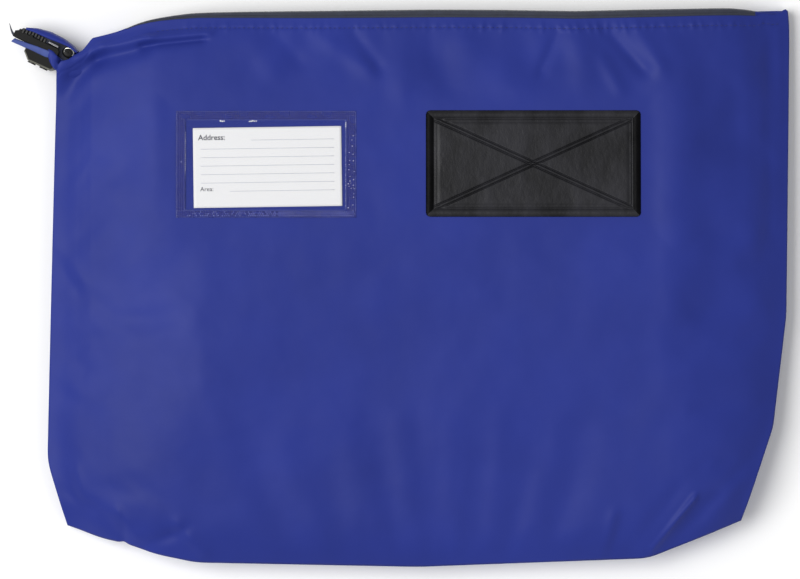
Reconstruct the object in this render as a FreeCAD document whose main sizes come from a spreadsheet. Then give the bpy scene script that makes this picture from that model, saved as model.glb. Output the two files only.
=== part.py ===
import FreeCAD, Part
import math
import os
import Sketcher

# Cash deposit bag: a gusseted, zip-topped pouch of coated fabric with a clear address window,
# a black patch and a sealed tail lock.  It lies on its back panel.
# Frame: the origin is the centre of the back panel's resting face, +X runs along the zip away
# from the tail lock, +Y points from the base to the zip, +Z points up out of the front panel.

DIMENSIONS = [
    # fabric thicknesses
    ("skin", 0.8, "coated fabric of the panels, gussets and hems"),
    ("tape_thickness", 0.6, "woven zip tape"),
    ("layer_gap", 0.05, "gap between two sewn layers"),
    ("fold_gap", 0.3, "gap between the front half and the fixed half of the bag"),
    # outline of the two panels
    ("left_x", -251, "left edge at the mouth"),
    ("left_low_x", -257.5, "left edge where the base corner starts"),
    ("left_corner_x", -244, "left base corner"),
    ("base_left_x", -155, "left end of the straight base"),
    ("base_right_x", 159, "right end of the straight base"),
    ("right_corner_x", 223.5, "right base corner"),
    ("right_low_x", 245.5, "right edge where the base corner starts"),
    ("right_mid_x", 255, "right edge where it starts to lean in"),
    ("right_x", 257.5, "right edge at the mouth"),
    ("base_y", -193, "lowest edge of the base"),
    ("left_low_y", -120, "left edge where the base corner starts"),
    ("left_corner_y", -165, "left base corner"),
    ("right_corner_y", -161, "right base corner"),
    ("right_low_y", -96, "right edge where the base corner starts"),
    ("right_mid_y", -19, "right edge where it starts to lean in"),
    ("left_top_y", 147, "left edge below the tail"),
    ("mouth_y", 187.5, "top edge of the two panels"),
    ("shoulder_left_x", -136, "left end of the straight mouth"),
    ("shoulder_low_x", -226, "mouth edge where it dips to the tail"),
    ("shoulder_low_y", 168, "mouth edge where it dips to the tail"),
    ("base_left_rise", 3, "left end of the straight base, over its lowest edge"),
    ("base_right_rise", 6, "right end of the straight base, over its lowest edge"),
    ("shoulder_run", 26, "knee of the mouth edge, left of the tape"),
    ("shoulder_drop", 5, "knee of the mouth edge, below the mouth"),
    # height of the filled-out front panel
    ("flat_left_x", -185, "left end of the stretch with the full cross section"),
    ("flat_right_x", 208, "right end of the stretch with the full cross section"),
    ("crown_y", -10, "highest line of the front panel"),
    ("crown_height", 44, "underside of the front panel at its highest line"),
    ("crown_radius", 1716, "roundness of the front panel from base to zip"),
    ("side_height", 13, "underside of the front panel at the side seams, highest"),
    ("side_radius", 4000, "roundness of the front panel along the side seams"),
    ("shoulder_y", 170, "line where the front panel bends towards the zip"),
    ("mouth_height", 26, "underside of the front panel at the mouth"),
    ("side_mouth_height", 8.5, "the same at the side seams"),
    ("sheet_lap", 3, "front panel section past the base edge before trimming"),
    ("station_lap", 1, "front panel sections past the side edges before trimming"),
    ("trim_margin", 60, "trimming frame round the panel outline"),
    # gussets
    ("gusset_depth", 36, "inward fold of a side gusset, about half of its 75 mm strip"),
    ("gusset_height", 8, "height of the folded side gusset"),
    ("left_corner_height", 13, "base wall at the left base corner"),
    ("base_height", 34, "base wall along the straight base"),
    ("right_corner_height", 21, "base wall at the right base corner"),
    ("seam_inset", 1, "side gusset in from the panel edge"),
    ("seam_lap", 2, "side gusset past the base corner"),
    ("gusset_end_gap", 5, "right gusset short of the hem"),
    # zip
    ("chain_y", 185.5, "middle plane of the zip chain"),
    ("chain_z", 13, "middle line of the zip chain"),
    ("chain_left_x", -146, "left end of the straight zip chain"),
    ("chain_right_x", 198, "right end of the zip chain"),
    ("chain_half_width", 3.4, "middle line to the outer edge of one row"),
    ("chain_half_depth", 1.3, "half thickness of the chain"),
    ("row_gap_half", 0.6, "middle line to the tips of one row"),
    ("tooth_pitch", 3.2, "spacing of the teeth in one row"),
    ("tooth_width", 1.4, "width of one tooth along the zip"),
    ("bead_height", 1.2, "moulded bead that carries the teeth"),
    ("tape_left_x", -160, "left end of the straight tape"),
    ("tape_right_x", 206, "right end of the tape"),
    ("tape_bulge_y", 193, "outermost line of the front tape"),
    ("tape_bulge_z", 22.3, "height of that line"),
    ("hem_depth", 13, "turned hem behind the zip"),
    ("bead_share", 0.8, "depth of bead and stops, as a share of the chain's"),
    ("tip_share", 0.7, "depth of a tooth's tip, as a share of the chain's"),
    ("tooth_start", 0.1, "first tooth past the end of the bead"),
    ("back_hem_inset", 4, "back hem in from the mouth"),
    ("back_hem_gap", 14, "back hem short of the right edge"),
    ("hem_edge_inset", 1, "front hem in from the mouth"),
    ("back_tape_lap", 15, "back tape under its hem"),
    ("front_tape_lap", 9, "front tape under the front panel"),
    ("tape_turn", 1.5, "turn of the back tape, before the chain plane"),
    ("tape_bend", 3, "knee of the back tape, as a divisor of the chain's height"),
    ("tape_knee_inner", 6, "knee of the front tape over the chain, inner face"),
    ("tape_knee_outer", 5.7, "knee of the front tape over the chain, outer face"),
    ("tape_fall", 0.4, "step of the front tape at the mouth edge"),
    ("clip_wall", 0.8, "walls of the end clip"),
    ("clip_foot", 1.5, "end clip below the chain"),
    ("clip_gap", 1, "end clip past the chain"),
    ("clip_length", 5, "end clip"),
    ("stop_gap", 0.3, "top stop over the tips of its row"),
    ("stop_inset", 0.1, "top stop in from the edge of its row"),
    ("stop_far", 3, "far end of a top stop, left of the tape"),
    ("stop_near", 0.5, "near end of a top stop, left of the tape"),
    # slider and pull
    ("slider_x", -152, "middle of the slider when the bag is shut"),
    ("slider_half_length", 6.5, "half length of the slider"),
    ("slider_half_width", 5.2, "half width of the slider"),
    ("plate_gap", 1.6, "chain middle plane to the inner face of a slider plate"),
    ("plate_thickness", 1.2, "slider plate"),
    ("lip_gap", 0.7, "chain middle plane to a slider lip"),
    ("lip_width", 1.0, "slider lip"),
    ("post_half_width", 0.45, "post that joins the two slider plates"),
    ("bridge_rise", 2.6, "height of the bridge over the slider plate"),
    ("pull_length", 30, "pull tab from its pin to its end"),
    ("pull_width", 9, "pull tab"),
    ("pull_thickness", 1.4, "pull tab"),
    ("post_overlap", 0.2, "post into the slider plates"),
    ("post_share", 0.6, "length of the post, as a share of half the slider"),
    ("bridge_width", 3, "bridge across the slider"),
    ("bridge_lift", 0.02, "bridge off the slider plate"),
    ("bridge_foot", 4.5, "outer end of a bridge foot"),
    ("bridge_knee", 3, "inner end of a bridge foot, and its shoulder"),
    ("bridge_inside", 2, "half length of the opening under the bridge"),
    ("bridge_bar", 0.6, "thickness of the bridge over its opening"),
    ("pull_lift", 1.6, "outer face of the pull tab over the slider plate"),
    ("pull_back", 1, "pull tab behind its pin"),
    ("pull_corner", 3, "cut corners of the pull tab, along it"),
    ("pull_chamfer", 2.5, "cut corners of the pull tab, across it"),
    ("pull_slot_length", 7, "window of the pull tab"),
    ("pull_slot_half", 2.2, "half width of that window"),
    # window pocket, card and patch on the front panel
    ("window_left_x", -167, "clear window"),
    ("window_right_x", -43, "clear window"),
    ("window_low_y", 48.5, "clear window"),
    ("window_high_y", 122, "clear window"),
    ("weld_width", 6, "welded border of the window"),
    ("film_gap", 1.0, "pocket under the film"),
    ("film_thickness", 0.4, "clear film"),
    ("card_left_x", -155.5, "address card"),
    ("card_right_x", -52.5, "address card"),
    ("card_low_y", 56, "address card"),
    ("card_high_y", 111.5, "address card"),
    ("card_gap", 0.35, "card over the front panel"),
    ("card_thickness", 0.35, "address card"),
    ("patch_left_x", 5, "black patch"),
    ("patch_right_x", 153, "black patch"),
    ("patch_low_y", 49, "black patch"),
    ("patch_high_y", 122.5, "black patch"),
    ("patch_thickness", 1.4, "black patch"),
    # tail with its lock, in a frame of its own: x runs out along the tail, y towards the base
    ("tail_x", -248.5, "root of the tail"),
    ("tail_y", 161, "root of the tail"),
    ("tail_turn", 155, "direction of the tail, in degrees from +X"),
    ("tail_length", 34.5, "fabric strip of the tail"),
    ("tail_low_z", 3, "lower edge of the tail strip"),
    ("tail_width", 24, "width of the tail strip"),
    ("strip_start", -6, "end of the tail strip beside the bag's corner"),
    ("strip_inner_y", 3, "tail strip, face towards the base"),
    ("strip_thickness", 1.5, "tail strip, two layers"),
    ("lock_low_z", 5, "lower face of the lock"),
    ("lock_width", 20, "width of the lock"),
    ("lock_base_length", 23.5, "lock half behind the strip"),
    ("lock_base_depth", 9.3, "lock half behind the strip"),
    ("lock_chamfer", 5, "chamfered ends of the lock"),
    ("lock_cover_length", 35, "lock half in front of the strip"),
    ("lock_cover_depth", 5.4, "lock half in front of the strip"),
    ("rib_height", 1.6, "grip ribs on the lock cover"),
    ("rib_pitch", 4.2, "grip ribs on the lock cover"),
    ("rib_end_gap", 0.6, "last grip rib before the cover's end"),
    ("rib_slope", 0.7, "sloping side of a grip rib"),
    ("rib_flat", 1.4, "crest of a grip rib"),
    ("lock_overhang", 0.2, "lock base past the root of the tail"),
    ("heel_x", 2.3, "heel of the lock base"),
    ("heel_rise", 2, "cut heels of the lock"),
    ("cover_start", 1, "start of the lock cover"),
    ("cover_heel_x", 3, "heel of the lock cover"),
    ("cover_tip", 1, "cut tip of the lock cover"),
    ("rivet_radius", 1.6, "shank of a lock rivet"),
    ("rivet_head_radius", 3.0, "head of a lock rivet"),
    ("rivet_head", 0.9, "thickness of a rivet head"),
    ("rivet_clearance", 0.05, "shank in its hole"),
    ("first_rivet_x", 7, "rivets along the tail"),
    ("second_rivet_x", 16, "rivets along the tail"),
    ("tab_gap", 0.4, "fabric tab over the lock cover"),
    ("root_rivet_x", -3.4, "domed stud at the root of the tail"),
    ("stud_length", 5.8, "neck of the domed stud"),
    ("dome_radius", 3.8, "head of the domed stud"),
    ("dome_rise", 2.6, "height of the domed head"),
    ("head_gap", 0.02, "rivet head off the face that it holds"),
    ("shank_overlap", 0.1, "rivet shank into its heads"),
    ("tab_clearance", 0.7, "fabric tab over the rivet heads"),
    ("tab_thickness", 1, "fabric tab"),
    ("tab_inset", 1, "fabric tab in from the strip's edges"),
    ("tab_back", 8, "end of the fabric tab towards the bag"),
    ("tab_front", 21, "end of the fabric tab along the tail"),
    ("tab_arc_radius", 33, "arch of the fabric tab"),
    ("tab_arc_x", 6.5, "centre of that arch along the tail"),
    ("tab_arc_y", 29.645, "centre of that arch from the tab's outer face"),
    ("dome_flat", 0.6, "flat of the stud's head, as a share of its radius"),
    ("dome_knee", 0.8, "knee of the stud's head, as a share of its rise"),
    ("root_collar", 0.6, "inner head of the stud past its shank"),
]

doc = FreeCAD.newDocument("cash_deposit_bag")
dims = doc.addObject("Spreadsheet::Sheet", "dims")
for row, (alias, value, note) in enumerate(DIMENSIONS, start=1):
    dims.set(f"A{row}", note)
    dims.set(f"B{row}", str(value))
    dims.setAlias(f"B{row}", alias)
doc.recompute()


def size(expression):
    """The value of an expression over the sheet's aliases."""
    return float(dims.evalExpression(expression))


def named(expression):
    """The same expression, written so that an object outside the sheet can read the aliases."""
    words = sorted((alias for alias, value, note in DIMENSIONS), key=len, reverse=True)
    parts = []
    word = ""
    for letter in expression + " ":
        if letter.isalnum() or letter == "_":
            word += letter
            continue
        parts.append("dims." + word if word in words else word)
        parts.append(letter)
        word = ""
    return "".join(parts).strip()


def new_body(label):
    body = doc.addObject("PartDesign::Body", label)
    body.Label = label
    return body


def plane_of(body, role):
    return [f for f in body.Origin.OriginFeatures if f.Role == role][0]


def new_sketch(body, name, role, offset="0"):
    """A sketch on one of the body's origin planes, moved along that plane's normal."""
    sketch = body.newObject("Sketcher::SketchObject", f"{body.Name}_{name}")
    sketch.AttachmentSupport = (plane_of(body, role), [""])
    sketch.MapMode = "FlatFace"
    sketch.AttachmentOffset = FreeCAD.Placement()
    sketch.setExpression("AttachmentOffset.Base.z", named(offset))
    return sketch


def hold(sketch, kind, index, point, expression):
    """Bind one coordinate of a sketch point to the sheet."""
    number = sketch.addConstraint(Sketcher.Constraint(kind, -1, 1, index, point, size(expression)))
    sketch.setExpression(f"Constraints[{number}]", named(expression))


def draw_outline(sketch, corners, arcs=None):
    """A closed outline through corners given as expressions.  arcs maps an edge's number to
    (radius, centre u, centre v); the other edges are straight."""
    arcs = arcs or {}
    points = [FreeCAD.Vector(size(u), size(v), 0) for u, v in corners]
    count = len(points)
    first = sketch.GeometryCount
    starts = []
    for i in range(count):
        a = points[i]
        b = points[(i + 1) % count]
        if i not in arcs:
            sketch.addGeometry(Part.LineSegment(a, b), False)
            starts.append((first + i, 1, 2))
            continue
        radius, cu, cv = (size(value) for value in arcs[i])
        circle = Part.Circle(FreeCAD.Vector(cu, cv, 0), FreeCAD.Vector(0, 0, 1), radius)
        angle_a = math.atan2(a.y - cv, a.x - cu)
        angle_b = math.atan2(b.y - cv, b.x - cu)
        turns_left = (angle_b - angle_a) % (2 * math.pi) < math.pi
        low, high = (angle_a, angle_b) if turns_left else (angle_b, angle_a)
        sketch.addGeometry(Part.ArcOfCircle(circle, low, high), False)
        starts.append((first + i, 1, 2) if turns_left else (first + i, 2, 1))
    for i in range(count):
        index, start, end = starts[i]
        after, after_start, after_end = starts[(i + 1) % count]
        sketch.addConstraint(Sketcher.Constraint("Coincident", index, end, after, after_start))
        hold(sketch, "DistanceX", index, start, corners[i][0])
        hold(sketch, "DistanceY", index, start, corners[i][1])
        if i in arcs:
            constraint = Sketcher.Constraint("Radius", index, size(arcs[i][0]))
            number = sketch.addConstraint(constraint)
            sketch.setExpression(f"Constraints[{number}]", named(arcs[i][0]))


def draw_circle(sketch, u, v, radius):
    circle = Part.Circle(FreeCAD.Vector(size(u), size(v), 0), FreeCAD.Vector(0, 0, 1), size(radius))
    index = sketch.addGeometry(circle, False)
    number = sketch.addConstraint(Sketcher.Constraint("Radius", index, size(radius)))
    sketch.setExpression(f"Constraints[{number}]", named(radius))
    hold(sketch, "DistanceX", index, 3, u)
    hold(sketch, "DistanceY", index, 3, v)


def add_pad(body, sketch, length, name="pad"):
    pad = body.newObject("PartDesign::Pad", f"{body.Name}_{name}")
    pad.Profile = sketch
    pad.setExpression("Length", named(length))
    sketch.Visibility = False
    return pad


def cut_through(body, sketch, name):
    """A pocket both ways through the whole body, checked by its volume."""
    doc.recompute()
    before = body.Shape.Volume
    pocket = body.newObject("PartDesign::Pocket", f"{body.Name}_{name}")
    pocket.Profile = sketch
    pocket.Type = "ThroughAll"
    pocket.Midplane = True
    doc.recompute()
    if not body.Shape.Volume < before:
        raise RuntimeError(f"{body.Label}: {name} removed nothing")


def extrude_x(label, corners, low, high, arcs=None):
    """A sub-part with one cross section in the YZ plane, from x = low to x = high."""
    body = new_body(label)
    sketch = new_sketch(body, "section", "YZ_Plane", low)
    draw_outline(sketch, corners, arcs)
    add_pad(body, sketch, f"({high}) - ({low})")
    return body


def crowned(y, shift):
    """Height of the front panel's underside at y where the bag is full, plus a shift."""
    drop = f"sqrt(crown_radius^2 - (({y}) - crown_y)^2)"
    return f"crown_height - crown_radius + {drop} + {shift}"


def crown_arc(shift):
    return ("crown_radius", "crown_y", f"crown_height - crown_radius + {shift}")


# ---------------------------------------------------------------- fixed half: panels and gussets

PANEL_OUTLINE = [
    ("left_low_x", "left_low_y"),
    ("left_corner_x", "left_corner_y"),
    ("base_left_x", "base_y + base_left_rise"),
    ("0", "base_y"),
    ("base_right_x", "base_y + base_right_rise"),
    ("right_corner_x", "right_corner_y"),
    ("right_low_x", "right_low_y"),
    ("right_mid_x", "right_mid_y"),
    ("right_x", "mouth_y"),
    ("shoulder_left_x", "mouth_y"),
    ("tape_left_x - shoulder_run", "mouth_y - shoulder_drop"),
    ("shoulder_low_x", "shoulder_low_y"),
    ("left_x", "left_top_y"),
]


def back_panel():
    body = new_body("back_panel")
    sketch = new_sketch(body, "outline", "XY_Plane")
    draw_outline(sketch, PANEL_OUTLINE)
    add_pad(body, sketch, "skin")


def strip_loft(label, stations, role, section):
    """A thin wall lofted through straight stretches between its stations."""
    body = new_body(label)
    sketches = []
    for number, station in enumerate(stations):
        sketch = new_sketch(body, f"section_{number}", role, station[0])
        draw_outline(sketch, section(*station[1:]))
        sketches.append(sketch)
    loft = body.newObject("PartDesign::AdditiveLoft", f"{label}_loft")
    loft.Profile = sketches[0]
    loft.Sections = sketches[1:]
    loft.Ruled = True


def base_gusset():
    """The wall that closes the base between the two panels, from corner to corner."""
    def section(y, height):
        low = "skin + layer_gap"
        return [(y, low), (f"{y} + skin", low), (f"{y} + skin", height), (y, height)]
    stations = [
        ("left_corner_x", "left_corner_y", "left_corner_height - fold_gap"),
        ("base_left_x", "base_y + base_left_rise", "base_height - fold_gap"),
        ("0", "base_y", "base_height - fold_gap"),
        ("base_right_x", "base_y + base_right_rise", "base_height - fold_gap"),
        ("right_corner_x", "right_corner_y", "right_corner_height - fold_gap"),
    ]
    strip_loft("base_gusset", stations, "YZ_Plane", section)


def side_gusset(label, stations, inward):
    """A strip sewn to both panels and folded inwards to a V.  Its sections lie in the XZ
    plane, whose normal points to -Y, and inward is +1 or -1."""
    def section(edge):
        fold = f"({inward})*gusset_depth"
        wall = f"({inward})*2*skin"
        low = "skin + layer_gap"
        high = "skin + layer_gap + gusset_height - fold_gap"
        middle = "skin + layer_gap + gusset_height/2"
        return [
            (edge, low),
            (f"{edge} + {fold}", f"{middle} - skin/2"),
            (f"{edge} + {fold}", f"{middle} + skin/2"),
            (edge, high),
            (edge, f"{high} - skin"),
            (f"{edge} + {fold} - {wall}", middle),
            (edge, f"{low} + skin"),
        ]
    strip_loft(label, stations, "XZ_Plane", section)


def left_gusset():
    stations = [
        ("-(left_corner_y + seam_lap)", "left_corner_x + seam_inset"),
        ("-left_low_y", "left_low_x + seam_inset"),
        ("-left_top_y", "left_x + seam_inset"),
    ]
    side_gusset("left_gusset", stations, "1")


def right_gusset():
    stations = [
        ("-(right_corner_y + seam_lap)", "right_corner_x - seam_inset"),
        ("-right_low_y", "right_low_x - seam_inset"),
        ("-right_mid_y", "right_mid_x - seam_inset"),
        ("-(mouth_y - hem_depth - gusset_end_gap)", "right_x - seam_inset"),
    ]
    side_gusset("right_gusset", stations, "-1")


def back_hem():
    """The turned edge of the back panel, over the zip tape."""
    low = "skin + tape_thickness + 2*layer_gap"
    corners = [
        ("mouth_y - back_hem_inset - hem_depth", low),
        ("mouth_y - back_hem_inset", low),
        ("mouth_y - back_hem_inset", f"{low} + skin"),
        ("mouth_y - back_hem_inset - hem_depth", f"{low} + skin"),
    ]
    extrude_x("back_hem", corners, "tape_left_x", "right_x - back_hem_gap")


# ---------------------------------------------------------------- fixed half: zip

def zip_tape_back():
    """From under the back hem round to the lower edge of the chain."""
    low = "skin + layer_gap"
    edge = "chain_z - chain_half_width - layer_gap"
    corners = [
        ("mouth_y - back_tape_lap", low),
        ("chain_y - tape_turn", low),
        ("chain_y + tape_thickness/2", "chain_z/tape_bend"),
        ("chain_y + tape_thickness/2", edge),
        ("chain_y - tape_thickness/2", edge),
        ("chain_y - tape_thickness/2", "chain_z/tape_bend + tape_thickness/2"),
        ("chain_y - tape_turn - tape_thickness/2", f"{low} + tape_thickness"),
        ("mouth_y - back_tape_lap", f"{low} + tape_thickness"),
    ]
    extrude_x("zip_tape_back", corners, "tape_left_x", "tape_right_x")


def zip_teeth(label, side, phase):
    """One row of the chain: a moulded bead with its teeth.  side is +1 for the upper row."""
    body = new_body(label)
    bead = new_sketch(body, "bead", "YZ_Plane", "chain_left_x")
    outer = f"chain_z + ({side})*chain_half_width"
    inner = f"chain_z + ({side})*(chain_half_width - bead_height)"
    tips = f"chain_z + ({side})*row_gap_half"
    deep = "chain_half_depth"
    draw_outline(bead, [
        (f"chain_y - {deep}*bead_share", outer),
        (f"chain_y + {deep}*bead_share", outer),
        (f"chain_y + {deep}*bead_share", inner),
        (f"chain_y - {deep}*bead_share", inner),
    ])
    add_pad(body, bead, "chain_right_x - chain_left_x", "bead_pad")
    tooth = new_sketch(body, "tooth", "YZ_Plane", f"chain_left_x + {phase}")
    draw_outline(tooth, [
        (f"chain_y - {deep}", inner),
        (f"chain_y + {deep}", inner),
        (f"chain_y + {deep}*tip_share", tips),
        (f"chain_y - {deep}*tip_share", tips),
    ])
    doc.recompute()
    tooth_pad = add_pad(body, tooth, "tooth_width", "tooth_pad")
    count = int(size("(chain_right_x - chain_left_x - tooth_pitch)/tooth_pitch"))
    doc.recompute()
    pattern = body.newObject("PartDesign::LinearPattern", f"{label}_teeth")
    pattern.Originals = [tooth_pad]
    pattern.Direction = (plane_of(body, "X_Axis"), [""])
    pattern.Occurrences = count
    pattern.setExpression("Length", named(f"tooth_pitch*{count - 1}"))
    body.Tip = pattern


def zip_end_stop():
    """The clip that ends the chain, crimped over its lower row."""
    corners = [
        ("chain_y - chain_half_depth - clip_wall", "chain_z - chain_half_width - clip_foot"),
        ("chain_y - chain_half_depth - clip_wall", "chain_z + row_gap_half"),
        ("chain_y + chain_half_depth + clip_wall", "chain_z + row_gap_half"),
        ("chain_y + chain_half_depth + clip_wall", "chain_z - chain_half_width - clip_foot"),
        ("chain_y + tape_thickness/2 + layer_gap", "chain_z - chain_half_width - clip_foot"),
        ("chain_y + tape_thickness/2 + layer_gap", "chain_z - chain_half_width"),
        ("chain_y - tape_thickness/2 - layer_gap", "chain_z - chain_half_width"),
        ("chain_y - tape_thickness/2 - layer_gap", "chain_z - chain_half_width - clip_foot"),
    ]
    extrude_x("zip_end_stop", corners, "chain_right_x + clip_gap",
              "chain_right_x + clip_gap + clip_length")


def top_stop(label, side):
    """The small clip beside the slider's closed place, on one row's tape edge."""
    near = f"chain_z + ({side})*(row_gap_half + stop_gap)"
    far = f"chain_z + ({side})*(chain_half_width - stop_inset)"
    corners = [
        ("chain_y - chain_half_depth*bead_share", near),
        ("chain_y + chain_half_depth*bead_share", near),
        ("chain_y + chain_half_depth*bead_share", far),
        ("chain_y - chain_half_depth*bead_share", far),
    ]
    body = extrude_x(label, corners, "tape_left_x - stop_far", "tape_left_x - stop_near")
    return body


# ---------------------------------------------------------------- fixed half: tail and lock

def to_tail(thing):
    """Put a sub-part drawn in the tail's own frame where the tail lies."""
    thing.Placement = FreeCAD.Placement(FreeCAD.Vector(), FreeCAD.Rotation(FreeCAD.Vector(0, 0, 1), 0))
    thing.setExpression("Placement.Base.x", named("tail_x"))
    thing.setExpression("Placement.Base.y", named("tail_y"))
    thing.setExpression("Placement.Rotation.Angle", named("tail_turn"))


def rivet_holes(body, radius, places):
    sketch = new_sketch(body, "rivet_holes", "XZ_Plane")
    for along in places:
        draw_circle(sketch, along, "lock_low_z + lock_width/2", radius)
    cut_through(body, sketch, "rivet_holes_cut")


LOCK_RIVETS = ("first_rivet_x", "second_rivet_x")


def tail_block(label, corners, low, high, arcs=None, holes=LOCK_RIVETS):
    """A sub-part of the tail with one outline seen from above, from z = low to z = high."""
    body = new_body(label)
    sketch = new_sketch(body, "outline", "XY_Plane", low)
    draw_outline(sketch, corners, arcs)
    add_pad(body, sketch, f"({high}) - ({low})")
    if holes:
        rivet_holes(body, "rivet_radius + rivet_clearance", holes)
    to_tail(body)
    return body


def tail_strip():
    corners = [
        ("strip_start", "strip_inner_y - strip_thickness"),
        ("tail_length", "strip_inner_y - strip_thickness"),
        ("tail_length", "strip_inner_y"),
        ("strip_start", "strip_inner_y"),
    ]
    holes = ("first_rivet_x", "second_rivet_x", "root_rivet_x")
    tail_block("tail_strip", corners, "tail_low_z", "tail_low_z + tail_width", holes=holes)


def lock_base():
    near = "strip_inner_y + layer_gap"
    far = "strip_inner_y + layer_gap + lock_base_depth"
    corners = [
        ("-lock_overhang", near),
        ("lock_base_length", near),
        ("lock_base_length", "strip_inner_y + lock_base_depth/2"),
        ("lock_base_length - lock_chamfer", far),
        ("heel_x", far),
        ("-lock_overhang", f"{far} - heel_rise"),
    ]
    tail_block("lock_base", corners, "lock_low_z", "lock_low_z + lock_width")


def lock_cover():
    """The outer lock half, with three grip ribs at its free end."""
    near = "strip_inner_y - strip_thickness - layer_gap"
    far = f"{near} - lock_cover_depth"
    corners = [("cover_start", near), ("cover_start", f"{far} + heel_rise"), ("cover_heel_x", far)]
    for rib in (3, 2, 1):
        start = f"lock_cover_length - rib_pitch*{rib} - rib_end_gap"
        corners += [
            (start, far),
            (f"{start} + rib_slope", f"{far} - rib_height"),
            (f"{start} + rib_slope + rib_flat", f"{far} - rib_height"),
            (f"{start} + 2*rib_slope + rib_flat", far),
        ]
    corners += [("lock_cover_length", f"{far} + cover_tip"), ("lock_cover_length", near)]
    tail_block("lock_cover", corners, "lock_low_z", "lock_low_z + lock_width")


def lock_rivets():
    """Two hollow-headed rivets through the cover, the strip and the base."""
    start = "strip_inner_y - strip_thickness - layer_gap - lock_cover_depth"
    length = "2*layer_gap + strip_thickness + lock_cover_depth + lock_base_depth"
    solids = []
    for number, along in enumerate(("first_rivet_x", "second_rivet_x")):
        pieces = [
            ("shank", "rivet_radius", start, length),
            ("head", "rivet_head_radius", f"{start} - rivet_head - head_gap", "rivet_head"),
            ("tail", "rivet_head_radius", f"{start} + {length} + head_gap", "rivet_head"),
        ]
        for name, radius, low, tall in pieces:
            cylinder = doc.addObject("Part::Cylinder", f"rivet_{number}_{name}")
            extra = "shank_overlap" if name == "shank" else "0"
            cylinder.setExpression("Radius", named(radius))
            cylinder.setExpression("Height", named(f"{tall} + 2*{extra}"))
            # the cylinder's own axis is turned from +Z to +Y
            turn = FreeCAD.Rotation(FreeCAD.Vector(1, 0, 0), -90)
            cylinder.Placement = FreeCAD.Placement(FreeCAD.Vector(), turn)
            cylinder.setExpression("Placement.Base.x", named(along))
            cylinder.setExpression("Placement.Base.y", named(f"{low} - {extra}"))
            cylinder.setExpression("Placement.Base.z", named("lock_low_z + lock_width/2"))
            solids.append(cylinder)
    rivets = doc.addObject("Part::MultiFuse", "lock_rivets")
    rivets.Label = "lock_rivets"
    rivets.Shapes = solids
    to_tail(rivets)


def tail_tab():
    """The folded fabric tab that arches over the lock cover from the bag's corner."""
    low = "-(lock_cover_depth + 2*layer_gap + rivet_head + tab_gap + head_gap + tab_clearance)"
    corners = [
        ("-tab_back", low),
        ("-tab_back", f"{low} - tab_thickness"),
        ("tab_front", f"{low} - tab_thickness"),
        ("tab_front", low),
    ]
    arcs = {1: ("tab_arc_radius", "tab_arc_x", f"{low} - tab_thickness + tab_arc_y")}
    bottom = "tail_low_z + tab_inset"
    tail_block("tail_tab", corners, bottom, "tail_low_z + tail_width - tab_inset", arcs, None)


def root_rivet():
    """The domed steel stud that holds the strip's root, turned about its own axis."""
    body = new_body("root_rivet")
    sketch = new_sketch(body, "half_section", "XY_Plane", "lock_low_z + lock_width/2")
    sketch.setExpression("AttachmentOffset.Base.x", named("root_rivet_x"))
    neck_end = "strip_inner_y - strip_thickness - head_gap - stud_length"
    inner = "strip_inner_y + head_gap"
    draw_outline(sketch, [
        ("0", f"{neck_end} - dome_rise"),
        ("dome_radius*dome_flat", f"{neck_end} - dome_rise*dome_knee"),
        ("dome_radius", neck_end),
        ("rivet_radius", neck_end),
        ("rivet_radius", inner),
        ("rivet_radius + root_collar", inner),
        ("rivet_radius + root_collar", f"{inner} + rivet_head"),
        ("0", f"{inner} + rivet_head"),
    ])
    turned = body.newObject("PartDesign::Revolution", "root_rivet_turned")
    turned.Profile = sketch
    turned.ReferenceAxis = (sketch, ["V_Axis"])
    turned.Angle = 360
    to_tail(body)


# ---------------------------------------------------------------- front half

def front_section(sketch, radius, height, mouth):
    """Cross section of the front panel for one roundness, height and mouth height."""
    def arc_z(y, shift):
        return f"{height} - {radius} + sqrt({radius}^2 - (({y}) - crown_y)^2) + {shift}"
    low_y = "base_y - sheet_lap"
    corners = [
        (low_y, arc_z(low_y, "0")),
        ("shoulder_y", arc_z("shoulder_y", "0")),
        ("mouth_y", mouth),
        ("mouth_y", f"{mouth} + skin"),
        ("shoulder_y", arc_z("shoulder_y", "skin")),
        (low_y, arc_z(low_y, "skin")),
    ]
    arcs = {
        0: (radius, "crown_y", f"{height} - {radius}"),
        4: (radius, "crown_y", f"{height} - {radius} + skin"),
    }
    draw_outline(sketch, corners, arcs)


def front_panel():
    """A sheet with one full cross section in the middle that falls to the side seams."""
    body = new_body("front_panel")
    side = ("side_radius", "side_height", "side_mouth_height")
    full = ("crown_radius", "crown_height", "mouth_height")
    stations = [
        ("left_low_x - station_lap", side),
        ("flat_left_x", full),
        ("flat_right_x", full),
        ("right_x + station_lap", side),
    ]
    sketches = []
    for number, (station, shape) in enumerate(stations):
        sketch = new_sketch(body, f"section_{number}", "YZ_Plane", station)
        front_section(sketch, *shape)
        sketches.append(sketch)
    loft = body.newObject("PartDesign::AdditiveLoft", "front_panel_loft")
    loft.Profile = sketches[0]
    loft.Sections = sketches[1:]
    loft.Ruled = True
    around = new_sketch(body, "outline", "XY_Plane")
    margin = "trim_margin"
    draw_outline(around, [
        (f"left_low_x - {margin}", f"base_y - {margin}"),
        (f"right_x + {margin}", f"base_y - {margin}"),
        (f"right_x + {margin}", f"mouth_y + {margin}"),
        (f"left_low_x - {margin}", f"mouth_y + {margin}"),
    ])
    draw_outline(around, PANEL_OUTLINE)
    cut_through(body, around, "trim")


def shoulder_line(y, shift):
    """Height of the front panel's underside between the shoulder and the mouth."""
    start = crowned("shoulder_y", "0")
    return f"({start}) + ((mouth_height) - ({start}))*(({y}) - shoulder_y)/(mouth_y - shoulder_y) + {shift}"


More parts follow.
